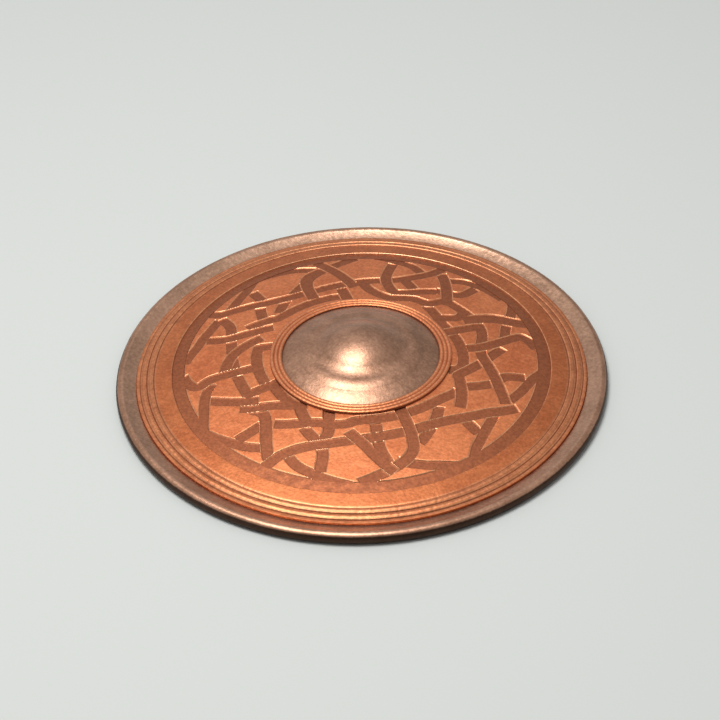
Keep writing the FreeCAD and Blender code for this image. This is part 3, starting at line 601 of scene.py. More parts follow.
def rounded(points: Sequence[Pair], radius: float, steps: int = 4) -> np.ndarray:
    """A closed outline with its corners rounded by short arcs.

    Each corner p becomes a quadratic curve from p + (a - p) t to p + (b - p) t, with a and b
    the neighbouring corners and t the share of the edge that the radius takes.

    Args:
        points: the corners in order.
        radius: how far along each edge the rounding reaches.
        steps: points to a corner.

    Returns:
        The outline as an array of points.
    """
    corners = np.array(points, dtype=float)
    before, after = np.roll(corners, 1, axis=0), np.roll(corners, -1, axis=0)
    reach_before = np.linalg.norm(before - corners, axis=1, keepdims=True)
    reach_after = np.linalg.norm(after - corners, axis=1, keepdims=True)
    start = corners + (before - corners) * np.minimum(radius / reach_before, 0.5)
    end = corners + (after - corners) * np.minimum(radius / reach_after, 0.5)
    share = np.linspace(0, 1, steps + 1)[None, :, None]
    curve = (1 - share) ** 2 * start[:, None] + 2 * share * (1 - share) * corners[:, None]
    return (curve + share ** 2 * end[:, None]).reshape(-1, 2)


def finish_piece(
    piece: bpy.types.Object,
    material: bpy.types.Material,
    slot: str,
    body: str,
    *replaced: str,
) -> None:
    """Dress a piece and tie it to its body.

    Args:
        piece: the piece.
        material: its finish.
        slot: the record's material slot; not used.
        body: the body it moves with.
        replaced: CAD nodes that it stands for.
    """
    piece.data.materials.clear()
    piece.data.materials.append(material)
    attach(piece, body)
    if replaced:
        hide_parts(*replaced)
    LOG.info("%s: %d faces on %s", piece.name, len(piece.data.polygons), body)


@dataclass
class FaceDome:
    """The plate's form, which its neighbours follow: a sphere, a hole and a stepped edge."""

    radius: float = 1300.0 * MM
    top: float = 41.137 * MM
    wall: float = 3.0 * MM
    recess: float = 1.6 * MM
    hole: float = 92.0 * MM
    step_at: float = 274.5 * MM
    step_drop: float = 3.4 * MM
    edge: float = 285.5 * MM
    edge_lift: float = 2.0 * MM

    def height(self, reach: np.ndarray, depth: float = 0.0) -> np.ndarray:
        """Height of the sphere at a distance from the axis: z0 + sqrt((R - d)^2 - r^2)."""
        return self.top - self.radius + np.sqrt((self.radius - depth) ** 2 - reach ** 2)

    def at(self, reach: float, depth: float = 0.0) -> float:
        """The same height at a single distance."""
        return float(self.height(np.array(reach), depth))

    def foot(self) -> float:
        """Height of the plate's upper side just outside the step."""
        return self.at(self.step_at) - self.step_drop


@dataclass
class Interlace:
    """The sunk bands of the face, as signed distances from their edges.

    Each strand is a smooth line through listed points, given as an angle in degrees and a
    share of the way from the collar to the sunk ring. A third number is its width there, as a
    share of the band's. A band is the places within half its width of that line. Where it goes
    under another, it stops a lip's width before it.
    """

    inner: float = 110.6 * MM
    outer: float = 215.2 * MM
    band_width: float = 13.5 * MM
    petal_width: float = 12.6 * MM
    lip: float = 1.3 * MM
    far: float = -12.0 * MM
    step: float = 0.8 * MM
    chunk: int = 20000
    strands: dict[str, Strand] = field(default_factory=lambda: {
        "arch_0": [(4, 0.78), (13, 0.59), (28, 0.375), (36.5, 0.35), (51.5, 0.45), (72.5, 0.42),
                   (77, 0.45), (90, 0.895)],
        "crown_0": [(-9, 0.39), (9, 0.16), (14, 0.145), (29.5, 0.435), (36, 0.605)],
        "collar_0": [(13.5, -0.025), (22, 0.135), (57, 0.075), (63.5, 0.075), (81, 0.175)],
        "leg_0b": [(5.5, 0.29), (12.5, 0.535), (18, 0.635), (20, 0.865)],
        "arm_0e": [(36, 0.19), (37, 0.36), (42.5, 0.795), (41.5, 0.92), (36.5, 1.01)],
        "arm_0f": [(59.5, 0.335, 1.2), (56.5, 0.62, 1.35), (54, 0.765, 1.3), (51, 0.92, 1.25),
                   (49.5, 1.05, 1.15)],
        "post_0": [(53, -0.025), (52, 0.475)],
        "link_0": [(66.5, 0.135), (62.5, 0.29), (64.5, 0.435)],
        "leg_1a": [(85, 0.52), (76, 0.635), (75, 0.895)],
        "upper_1": [(76.5, 0.435), (81.5, 0.235), (90.5, 0.205), (103.5, 0.12), (114.5, 0.235),
                    (120.5, 0.465)],
        "arch_1": [(91, 1.02), (94.5, 0.78), (104, 0.535), (116.5, 0.45), (141.5, 0.375),
                   (160.5, 0.475), (177.5, 0.82), (181, 1.02)],
        "crown_1": [(84.5, 0.505), (97.5, 0.275), (104, 0.29), (109, 0.535), (108.5, 0.905)],
        "link_1c": [(101.5, 0.565), (94.5, 0.405)],
        "arm_1e": [(123, 0.32), (135.5, 1.02)],
        "stem_1": [(127.5, -0.025), (130, 0.335)],
        "arm_1f": [(146, 0.22), (144, 0.535, 1.1), (140.5, 0.705, 1.35), (131, 0.85, 1.05),
                   (121.5, 1.02)],
        "leg_2a": [(165, 0.59), (163, 0.85)],
        "collar_1": [(131.5, 0.135), (167.5, 0.175), (175, 0.26), (185, 0.42)],
        "link_1a": [(167.5, 0.26), (157, 0.405)],
        "link_1b": [(176.5, 0.32), (169.5, 0.52)],
        "crown_2": [(180, 0.135), (187.5, 0.335), (194, 0.59), (195.5, 0.82)],
        "arch_2": [(182, 0.82), (187.5, 0.605), (205.5, 0.45), (233.5, 0.375), (243.5, 0.465),
                   (250.5, 0.405), (257.5, 0.535), (268, 0.895)],
        "cross_2": [(190.5, 0.175), (204.5, 0.435), (216, 0.535)],
        "collar_2": [(197.5, -0.025), (199.5, 0.135), (204, 0.16), (235.5, 0.12)],
        "arm_2e": [(217, 0.205), (218.5, 0.665), (221, 0.85), (219, 0.95), (214, 1.02)],
        "post_2": [(235, -0.025), (235, 0.42)],
        "hoop_2": [(232, 0.045), (251, 0.075), (259, 0.06)],
        "arm_2f": [(241.5, 0.32), (229.5, 0.82)],
        "branch_2": [(264, -0.01), (250.5, 0.22), (241, 0.55)],
        "leg_3a": [(255, 0.535), (253.5, 0.865)],
        "spur_3": [(261.5, 0.06), (272, 0.235)],
        "crown_3": [(259, 0.435), (273.5, 0.22), (284, 0.16)],
        "collar_3": [(280.5, 0.19), (291.5, 0.145), (303, 0.075), (342.5, 0.12), (360, 0.22)],
        "post_3": [(279.5, -0.025), (284, 0.26), (283.5, 0.435)],
        "leg_3b": [(272.5, 0.32), (284, 0.55), (286.5, 0.895)],
        "arch_3": [(268.5, 1.02), (271, 0.78), (278.5, 0.565), (293.5, 0.405), (311, 0.35),
                   (331.5, 0.375), (343, 0.465), (354.5, 0.65), (359, 0.77), (364, 0.92)],
        "arm_3e": [(294, 0.26), (301.5, 0.465), (311, 0.895)],
        "drop_3": [(308, 0.135), (307.5, 0.475), (309.5, 0.75)],
        "arm_3f": [(325, -0.025), (322.5, 0.435), (317.5, 0.72), (299.5, 1.01)],
        "leg_0a": [(346.5, 0.575), (345.5, 0.795)],
        "link_3a": [(344, 0.22), (336, 0.36)],
        "link_3b": [(332.5, 0.42), (324, 0.565)],
        "leg_1b": [(144, 0.59), (152.5, 0.45)],
    })
    petals: dict[str, Strand] = field(default_factory=lambda: {
        "petal_0a": [(6.5, 0.795), (12.5, 0.865), (16.5, 0.905), (21, 0.965), (27, 1.11)],
        "petal_0b": [(42.5, 0.665), (48, 0.735), (52, 0.82), (57.5, 0.965), (64.5, 1.14)],
        "petal_0c": [(87, 0.75), (81.5, 0.895), (77, 0.95), (73, 0.98), (65, 1.01)],
        "petal_1a": [(115, 1.05), (107.5, 0.965), (104, 0.935), (101, 0.895), (96, 0.78)],
        "petal_1b": [(137, 0.835), (142, 0.92), (145.5, 0.965), (150.5, 1.01), (157, 1.05)],
        "petal_1c": [(176.5, 0.82), (171, 0.865), (167, 0.905), (163, 0.95), (156.5, 1.08)],
        "petal_2a": [(183, 0.835), (189, 0.85), (194, 0.88), (199, 0.905), (207.5, 1.01)],
        "petal_2b": [(221.5, 0.705), (226.5, 0.805), (231, 0.87), (235, 0.925), (243.5, 1.08)],
        "petal_2c": [(243.5, 1.06), (251, 0.965), (254.5, 0.92), (258, 0.88), (265, 0.765)],
        "petal_3a": [(272.5, 0.75), (278, 0.865), (284.5, 0.935), (291, 1), (297, 1.05)],
        "petal_3b": [(313, 0.75), (317.5, 0.825), (323, 0.915), (326.5, 0.965), (333, 1.09)],
        "petal_3c": [(357, 0.75), (349, 0.815), (344, 0.88), (340, 0.95), (335.5, 1.09)],
    })
    under: dict[str, list[str]] = field(default_factory=lambda: {
        "arch_0": ["arch_3", "arm_0e", "arm_0f", "arch_1"],
        "crown_0": ["arch_0", "arm_0e"],
        "collar_0": ["crown_0", "post_0", "upper_1"],
        "leg_0b": ["arch_0"],
        "leg_1a": ["arch_0"],
        "arch_1": ["crown_1", "arm_1e", "arm_1f"],
        "crown_1": ["arch_0", "upper_1"],
        "link_1c": ["crown_1"],
        "arm_1f": ["arm_1e"],
        "leg_2a": ["arch_1"],
        "stem_1": ["arch_1", "arm_1e"],
        "collar_1": ["stem_1", "crown_2"],
        "link_1a": ["collar_1", "arch_1"],
        "link_1b": ["collar_1", "arch_1"],
        "arch_2": ["arch_1", "crown_2", "cross_2", "arm_2e", "arm_2f", "branch_2", "arch_3"],
        "cross_2": ["arm_2e"],
        "collar_2": ["post_2"],
        "branch_2": ["arm_2f"],
        "arm_2f": ["petal_2b"],
        "leg_3a": ["arch_2"],
        "crown_3": ["arch_2"],
        "leg_3b": ["arch_3", "crown_3"],
        "post_3": ["arch_3"],
        "arch_3": ["arm_3e", "arm_3f"],
        "drop_3": ["arch_3", "collar_3"],
        "arm_3f": ["arm_3e"],
        "collar_3": ["arm_3f", "crown_0"],
        "leg_0a": ["arch_3"],
        "link_3a": ["collar_3", "arch_3"],
        "link_3b": ["arm_3f", "arch_3"],
        "petal_0a": ["arch_0"],
        "petal_0b": ["arm_0f", "arm_0e"],
        "petal_0c": ["arch_0"],
        "petal_1a": ["arch_1"],
        "petal_1b": ["arm_1f"],
        "petal_1c": ["arch_1"],
        "petal_2b": ["arm_2e"],
        "petal_2c": ["arch_2"],
        "petal_3a": ["arch_3"],
        "petal_3b": ["arm_3f"],
        "petal_3c": ["arch_3"],
        "leg_1b": ["arm_1f", "arch_1"],
    })

    def line(self, points: Strand) -> tuple[np.ndarray, np.ndarray, np.ndarray]:
        """The middle line of a strand.

        A cubic joins each point to the next in polar form. Its slope at a point is half the way
        from the point before to the point after. It is read at close, even steps, and polar
        places become x = r cos a and y = r sin a.

        Args:
            points: the strand's points.

        Returns:
            The places along the line, the direction and the width share at each.
        """
        span = self.outer - self.inner
        polar = np.array([
            (math.radians(angle), self.inner + share * span, *(width or [1.0]))
            for angle, share, *width in points
        ])
        chain = np.concatenate([[2 * polar[0] - polar[1]], polar, [2 * polar[-1] - polar[-2]]])
        parts = []
        for before, here, there, after in zip(chain, chain[1:], chain[2:], chain[3:]):
            run = math.hypot(there[1] - here[1], (there[0] - here[0]) * (there[1] + here[1]) / 2)
            share = np.linspace(0, 1, max(2, round(run / self.step)), endpoint=False)[:, None]
            bend = (2 * before - 5 * here + 4 * there - after) * share
            bend = bend + (3 * here - before - 3 * there + after) * share ** 2
            parts.append(here + share * (there - before + bend) / 2)
        way = np.concatenate(parts + [polar[-1:]])
        places = np.stack([way[:, 1] * np.cos(way[:, 0]), way[:, 1] * np.sin(way[:, 0])], axis=-1)
        along = np.gradient(places, axis=0)
        return places, along / np.linalg.norm(along, axis=1, keepdims=True), way[:, 2]

    def inside(self, x: np.ndarray, y: np.ndarray, points: Strand, width: float) -> np.ndarray:
        """How far each place is inside a strand, negative outside.

        The value is half the width less the distance across the line, and no more than the
        distance along it from either square end.

        Args:
            x: places along X.
            y: places along Y.
            points: the strand's points.
            width: the band's full width.

        Returns:
            The signed distance, at least as low as the far limit away from the strand.
        """
        places, along, widths = self.line(points)
        result = np.full(x.shape, self.far, dtype=np.float32)
        margin = width * float(widths.max()) / 2 - self.far
        low, high = places.min(axis=0) - margin, places.max(axis=0) + margin
        near = (x > low[0]) & (x < high[0]) & (y > low[1]) & (y < high[1])
        asked = np.stack([x[near], y[near]], axis=-1).astype(np.float32)
        nearest = np.empty(len(asked), dtype=np.int32)
        line = places.astype(np.float32)
        for start in range(0, len(asked), self.chunk):
            part = asked[start:start + self.chunk, None]
            gap = (part[..., 0] - line[None, :, 0]) ** 2 + (part[..., 1] - line[None, :, 1]) ** 2
            nearest[start:start + self.chunk] = gap.argmin(axis=1)
        offset = asked - places[nearest]
        across = np.abs(offset[:, 0] * along[nearest, 1] - offset[:, 1] * along[nearest, 0])
        forward = np.sum(offset * along[nearest], axis=1)
        depth = width * widths[nearest] / 2 - across
        depth = np.where(nearest == 0, np.minimum(depth, forward), depth)
        depth = np.where(nearest == len(places) - 1, np.minimum(depth, -forward), depth)
        result[near] = np.maximum(depth, self.far)
        return result

    def depth(self, x: np.ndarray, y: np.ndarray) -> np.ndarray:
        """How far each place is inside any band.

        The value is the greatest of the strands' own. A strand's is first held to -(d + lip) for
        each band that it goes under, with d how far the place is inside that one.

        Args:
            x: places along X.
            y: places along Y.

        Returns:
            The signed distance, negative outside every band.
        """
        inside = {
            name: self.inside(x, y, points, self.band_width) for name, points in self.strands.items()
        }
        for name, points in self.petals.items():
            inside[name] = self.inside(x, y, points, self.petal_width)
        total = np.full(x.shape, self.far, dtype=np.float32)
        for name, value in inside.items():
            for other in self.under.get(name, []):
                value = np.minimum(value, -(inside[other] + self.lip))
            total = np.maximum(total, value)
        return total


@dataclass
class FacePlate:
    """The face's sheet: four sectors of interlace inside a border with two ridges.

    The interlace is cut so finely that one mesh would be too heavy, so it is four sectors that
    meet edge to edge.
    """

    dome: FaceDome
    interlace: Interlace
    finish: bpy.types.Material
    band_finish: bpy.types.Material
    covered: Pair = (100.0 * MM, 105.0 * MM)
    fine_start: float = 108.0 * MM
    ring_outer: float = 231.0 * MM
    ring_tilt: float = 0.07
    back_film: float = 0.85
    ring_film_share: float = 0.85
    ridge_start: float = 253.1 * MM
    ridge_width: float = 8.6 * MM
    ridge_height: float = 1.4 * MM
    groove_depth: float = 0.5 * MM
    groove_width: float = 0.7 * MM
    ridge_margin: float = 0.9 * MM
    ridge_reach_share: float = 0.3
    ridge_waves: tuple[tuple[int, float], ...] = ((173, 0.035), (211, 0.03), (37, 0.03))
    ridges: int = 2
    # Ridge crests and the sides of each groove are painted lighter: partly wear, partly a painted
    # highlight
    crest_wear_and_highlight: float = 0.25
    crest_power: int = 6
    rub_and_highlight_at: float = 1.3 * MM
    rub_and_highlight_width: float = 0.5 * MM
    rub_wear_and_highlight: float = 0.6
    wall_end: float = 0.75 * MM
    wall_mm_shares: tuple[Pair, ...] = (
        (-1.5, 0), (-1.1, 0.02), (-0.4, 0.28), (0.1, 0.66), (0.5, 0.97), (0.75, 1.0),
    )
    # Where the pad edges are painted pale: partly wear, partly a painted highlight
    edge_wear_and_highlight_at: float = -0.45 * MM
    worn_width: float = 0.35 * MM
    sectors: int = 4
    sector_columns: int = 512
    field_rows: int = 180
    border_rows: tuple[int, ...] = (5, 11, 9, 59, 1)
    low_rows: tuple[int, int] = (9, 10)

    def sink(self, inside: np.ndarray) -> np.ndarray:
        """Depth below the sphere for a signed distance inside a band.

        A worn edge falls gently over the wall's first half and a steep wall follows: a smooth
        curve through (distance, share of the recess).

        Args:
            inside: signed distances inside the band.

        Returns:
            The depths.
        """
        knots = [(d * MM, share * self.dome.recess) for d, share in self.wall_mm_shares]
        return smooth_line(knots, np.clip(inside, knots[0][0], knots[-1][0]))

    def marks(self, inside: np.ndarray) -> Marks:
        """How hollow each place is, and how worn, partly as a painted highlight, from its signed
        distance.
        """
        hollow = np.clip(self.sink(inside) / self.dome.recess, 0, 1)
        return {"hollow": hollow ** 2, "worn": hump(inside, self.edge_wear_and_highlight_at, self.worn_width)}

    def interlaced(self) -> list[bpy.types.Object]:
        """Build the interlaced sectors.

        Rows are circles: height is the sphere's less the sink of the signed distance.

        Returns:
            One closed piece for each sector.
        """
        end = self.interlace.outer + self.wall_end
        fine = np.linspace(self.fine_start, end, self.field_rows)
        top = np.concatenate([[self.dome.hole, *self.covered], fine])
        low = np.linspace(end, self.dome.hole, self.low_rows[0])
        pieces = []
        for number in range(self.sectors):
            start = 2 * np.pi / self.sectors * number
            angle = start + np.linspace(0, 2 * np.pi / self.sectors, self.sector_columns + 1)[:, None]
            x, y = top * np.cos(angle), top * np.sin(angle)
            inside = np.maximum(self.interlace.depth(x, y), top - self.interlace.outer)
            inside = np.where(top < self.fine_start, self.interlace.far, inside)
            high = self.dome.height(top) - self.sink(inside)
            bottom = self.dome.height(low, self.dome.wall) + 0 * angle
            radius = np.concatenate([top, low])
            height = np.concatenate([high, bottom], axis=1)
            points = spots(radius * np.cos(angle), radius * np.sin(angle), height)
            marks = self.marks(inside)
            under = {"hollow": np.full_like(bottom, self.back_film), "worn": 0 * bottom}
            marks = {mark: np.append(marks[mark], under[mark], axis=1) for mark in under}
            pieces.append(lofted(f"face_field_{number + 1}", points, marks))
        return pieces

    def border(self) -> bpy.types.Object:
        """Build the sunk ring, the plain band, the two ridges and the edge.

        The section is the sphere less the ring's sink plus the ridges, each a raised sine arch
        whose height waves a little with the angle, as chasing by hand leaves it.

        Returns:
            The border as a closed ring.
        """
        dome = self.dome
        start = self.interlace.outer + self.wall_end
        wall = self.ring_outer - self.wall_end
        ridges_end = self.ridge_start + self.ridges * self.ridge_width
        top = stepped((
            start, wall, self.ring_outer + 2 * self.wall_end, self.ridge_start - self.ridge_margin,
            ridges_end + self.ridge_margin, dome.step_at,
        ), self.border_rows)
        low = np.linspace(dome.step_at - dome.wall, start, self.low_rows[1])
        steps = Quality.LARGE.value
        angle = full_turn(steps)
        share = (top - self.ridge_start) / self.ridge_width
        ridged = (share > 0) & (share < self.ridges)
        near = (share > -self.ridge_reach_share) & (share < self.ridges + self.ridge_reach_share)
        arch = np.where(ridged, np.abs(np.sin(np.pi * share)) ** BEAD_POWER, 0)
        from_foot = (share - np.round(share)) * self.ridge_width
        groove = np.where(near, hump(from_foot, 0, self.groove_width), 0)
        wave = 1 + wobble(angle, self.ridge_waves)
        inside = self.ring_outer - top
        ringed = np.clip(inside / self.wall_end, 0, 1)
        tilt = self.ring_tilt * (top - (start + wall) / 2) * ringed
        high = dome.height(top) - self.sink(inside) - tilt + self.ridge_height * arch * wave
        high = high - self.groove_depth * groove
        lifted = dome.foot() + dome.edge_lift
        sunk = [dome.foot(), lifted, lifted - dome.wall, dome.foot() - dome.wall]
        bottom = np.concatenate([sunk, dome.height(low, dome.wall)]) + 0 * angle
        low = np.concatenate([[dome.step_at, dome.edge, dome.edge, dome.step_at], low])
        # The sides of each groove, a little out from its foot, and the ridge crests are painted
        # lighter: partly wear, partly a painted highlight
        wear_and_highlight = np.where(near, hump(np.abs(from_foot), self.rub_and_highlight_at, self.rub_and_highlight_width), 0)
        side = self.marks(inside)
        marks = {
            "hollow": np.append(
                np.maximum(side["hollow"] * (1 - ringed * (1 - self.ring_film_share)), groove),
                np.full_like(low, self.back_film),
            ),
            "worn": np.append(np.maximum.reduce([
                side["worn"], self.crest_wear_and_highlight * arch ** self.crest_power, self.rub_wear_and_highlight * wear_and_highlight,
            ]), 0 * low),
        }
        height = np.concatenate([high, bottom], axis=1)
        return turned("face_border", np.concatenate([top, low]), height, steps, marks)

    def build(self) -> None:
        """Build and dress the plate."""
        for piece in self.interlaced():
            finish_piece(piece, self.finish, "copper_bronze", BODY, "face_plate")
        finish_piece(self.border(), self.band_finish, "copper_bronze", BODY, "face_plate")


@dataclass
class RimBinding:
    """The rolled sheet round the edge: a bead with a flange on each side of the plate."""

    dome: FaceDome
    finish: bpy.types.Material
    shield_radius: float
    bead: float = 7.5 * MM
    bead_height: float = 7.1 * MM
    wall: float = RAISED_WALL
    gap: float = 0.3 * MM
    slot_gap: float = 0.5 * MM
    low_gap: float = SEAT_GAP
    dish_end_deg: float = 62.0
    dish_power: float = 1.3
    tip_wall: float = 0.5 * MM
    tip_round: float = 0.2 * MM
    tip_rub: float = 0.5 * MM
    flange_shares: Pair = (0.08, 0.94)
    seam_open: float = 0.18
    dents: tuple[tuple[int, float], ...] = (
        (5, 0.10 * MM), (11, 0.07 * MM), (29, 0.05 * MM), (67, 0.03 * MM),
    )
    dents_above: float = 3.0 * MM
    dent_lift: float = 0.5
    bead_points: int = 64
    hollow_points: int = 40
    flange_points: int = 12
    # How high the bead's outer side is painted dark as shade near the floor, and over what height it
    # fades
    film_and_shade_top: float = 14.2 * MM
    film_and_shade_fade: float = 3.0 * MM
    # How much lighter the upper flange is painted: partly wear, partly a painted sheen
    flange_wear_and_sheen: float = 0.35

    def build(self) -> None:
        """Build and dress the binding.

        The section runs along the upper flange, whose rise follows a power of the share of the
        way to the bead, round the bead by r = c + b cos t and z = h + b sin t with its foot
        flattened on the floor, and back along the lower flange and round the hollow. The bead is
        dented a little outside the plate, by a wave round the axis.
        """
        middle = self.shield_radius - self.bead
        inner = self.dome.step_at + self.gap
        top = self.dome.foot() + np.array([self.gap, self.dome.edge_lift + self.slot_gap])
        low = self.dome.foot() + np.array([0, self.dome.edge_lift]) - self.dome.wall - self.low_gap
        meet_top = math.radians(self.dish_end_deg)
        meet_low = math.asin((low[1] - self.wall - self.bead_height) / self.bead)
        turn = np.linspace(np.pi - meet_top, -np.pi - meet_low, self.bead_points)
        seam = np.pi - self.seam_open
        back = np.linspace(-seam, seam, self.hollow_points)
        bead, hollow = (
            np.stack([middle + size * np.cos(way), self.bead_height + size * np.sin(way)], axis=-1)
            for size, way in ((self.bead, turn), (self.bead - self.wall, back))
        )
        bead[:, 1] = np.maximum(bead[:, 1], 0)
        tip, lip = top[0] + self.tip_wall, self.tip_round
        share = np.linspace(*self.flange_shares, self.flange_points)
        flange = np.stack([
            inner + share * (bead[0, 0] - inner), tip + share ** self.dish_power * (bead[0, 1] - tip)
        ], axis=-1)
        outline = np.concatenate([
            [[inner, top[0]], [inner, tip - lip], [inner + lip, tip]],
            flange,
            bead,
            [[inner + lip, low[0] - self.wall], [inner, low[0] - self.wall + lip], [inner, low[0]]],
            hollow,
        ])
        reach, height = outline.T
        steps = Quality.LARGE.value
        dent = wobble(full_turn(steps), self.dents)
        share = np.clip((reach - self.dome.edge) / self.bead, 0, 1) * (height > self.dents_above)
        # Below a set height the bead's outer side is painted dark, fading upwards: a painted shade
        # near the floor. Inside the bead only its hidden lower half takes film.
        film_and_shade_top = np.where(reach > middle, self.film_and_shade_top, self.bead_height)
        # The upper flange is painted lighter all round: partly wear, partly a painted sheen
        wear_and_highlight = self.flange_wear_and_sheen * (reach < middle) * (height > top[0])
        marks = {
            "hollow": np.clip((film_and_shade_top - height) / self.film_and_shade_fade, 0, 1),
            "worn": np.maximum(hump(reach, inner, self.tip_rub) * (height > top[0] + lip), wear_and_highlight),
        }
        radius, height = reach - np.abs(dent) * share, height + self.dent_lift * dent * share
        piece = turned("rolled_rim", radius, height, steps, marks)
        finish_piece(piece, self.finish, "grey_bronze", BODY, "rim_binding")


@dataclass
class Boss:
    """The raised boss: a round top, a valley, and a shoulder creased half way down."""

    dome: FaceDome
    finish: bpy.types.Material
    collar_finish: bpy.types.Material
    edge: float = 95.4 * MM
    rise: float = 31.0 * MM
    wall: float = RAISED_WALL
    gap: float = SEAT_GAP
    flange: float = 107.0 * MM
    collar_inner: float = 96.0 * MM
    collar_outer: float = 110.6 * MM
    collar_heights: Pair = (40.2 * MM, 39.4 * MM)
    beads: int = 3
    bead_rows: int = 14
    bead_height: float = 1.1 * MM
    bead_waves: tuple[tuple[int, float], ...] = ((97, 0.05), (131, 0.04), (23, 0.03))
    covered: Pair = (97.5 * MM, 102.0 * MM)
    valley: float = 60.5 * MM
    valley_width: float = 3.5 * MM
    # Film in the valley and at the foot: partly patina, partly painted shade
    valley_film_and_shade: float = 0.15
    foot_width: float = 3.0 * MM
    foot_film_and_shade: float = 0.6
    back_film: float = 1.0
    # How much lighter the bead crests are painted: partly wear, partly a painted highlight
    bead_wear_and_highlight: float = 0.4
    crest_power: int = 8
    crown_points: int = 150
    groove_film: float = 2.2
    crown_shares: Pair = (0.472, 0.584)
    arc_shares: tuple[Triple, ...] = (
        (0.639, 0.4, -0.055), (0.807, 0.239, 0.06), (1.0, 0.0, 0.026),
    )

    def profile(self, reach: np.ndarray) -> np.ndarray:
        """Height of the boss at a distance from the axis.

        The crown is a sphere's cap that ends at the crown shares of the boss's reach and rise.
        Outside it the section is a row of arcs, each given by the shares of its end and by how
        far it swells from its chord, below zero where it is hollow. Each is read from its circle,
        z = zc + s sqrt(q^2 - (r - rc)^2), with s the sign of its swelling.

        Args:
            reach: distances from the axis.

        Returns:
            The heights.
        """
        foot = self.dome.at(self.edge) + self.gap + self.wall
        start = np.array([0, foot]) + np.array(self.crown_shares) * (self.edge, self.rise)
        drop = foot + self.rise - start[1]
        ball = (start[0] ** 2 + drop ** 2) / (2 * drop)
        height = foot + self.rise - ball + np.sqrt(np.maximum(ball ** 2 - reach ** 2, 0))
        for across, up, bulge in self.arc_shares:
            end = np.array([across * self.edge, foot + up * self.rise])
            chord = end - start
            reach_share = (0.25 - bulge ** 2) / (2 * bulge)
            middle = (start + end) / 2 + reach_share * np.array([chord[1], -chord[0]])
            circle = np.hypot(*(start - middle)) ** 2 - (reach - middle[0]) ** 2
            arc = middle[1] + math.copysign(1, bulge) * np.sqrt(np.maximum(circle, 0))
            height = np.where(reach > start[0], arc, height)
            start = end
        return height

    def shell(self) -> bpy.types.Object:
        """Build the boss as a shell of even wall, closed at both poles.

        Returns:
            The boss.
        """
        reach = np.append(np.linspace(0, self.edge, self.crown_points), [*self.covered, self.flange])
        flat = self.dome.height(reach) + self.gap + self.wall
        outer = np.where(reach <= self.edge, self.profile(reach), flat)
        radius = np.concatenate([reach, reach[::-1]])
        height = np.concatenate([outer, outer[::-1] - self.wall])
        # The valley and the foot take the film colour: partly patina, partly painted shade
        film = self.valley_film_and_shade * hump(reach, self.valley, self.valley_width)
        film = film + self.foot_film_and_shade * hump(reach, self.edge, self.foot_width)
        marks = {"hollow": np.append(film, np.full_like(reach, self.back_film))}
        return turned_cap("boss_shell", radius, height, Quality.MEDIUM.value, marks)

    def collar(self) -> bpy.types.Object:
        """Build the collar: half-round beads over the flange, with a fine groove between them.

        Each bead is a sine arch over an equal share of the width.

        Returns:
            The collar.
        """
        width = self.collar_outer - self.collar_inner
        share = np.linspace(0, 1, self.beads * self.bead_rows + 1)
        base = np.interp(share, [0, 1], self.collar_heights)
        swell = np.abs(np.sin(np.pi * share * self.beads)) ** BEAD_POWER
        cover, over = self.flange + self.gap, self.wall + self.gap
        seat = np.array([self.collar_outer, cover, cover, self.collar_inner])
        low = self.dome.height(seat) + self.gap + np.array([0, 0, over, over])
        radius = np.append(self.collar_inner + width * share, seat)
        steps = Quality.LARGE.value
        wave = 1 + wobble(full_turn(steps), self.bead_waves)
        high = base + self.bead_height * swell * wave
        height = np.append(high, low + 0 * wave, axis=1)
        # Film in the grooves; the bead crests are painted lighter, partly wear and partly a painted
        # highlight
        marks = {
            "hollow": np.append(np.clip(1 - self.groove_film * swell, 0, 1), np.ones(4)),
            "worn": np.append(self.bead_wear_and_highlight * swell ** self.crest_power, np.zeros(4)),
        }
        return turned("boss_beads", radius, height, steps, marks)

    def build(self) -> None:
        """Build and dress the boss and its collar."""
        finish_piece(self.shell(), self.finish, "grey_bronze", BODY, "boss_dome")
        finish_piece(self.collar(), self.collar_finish, "copper_bronze", BODY, "boss_collar")


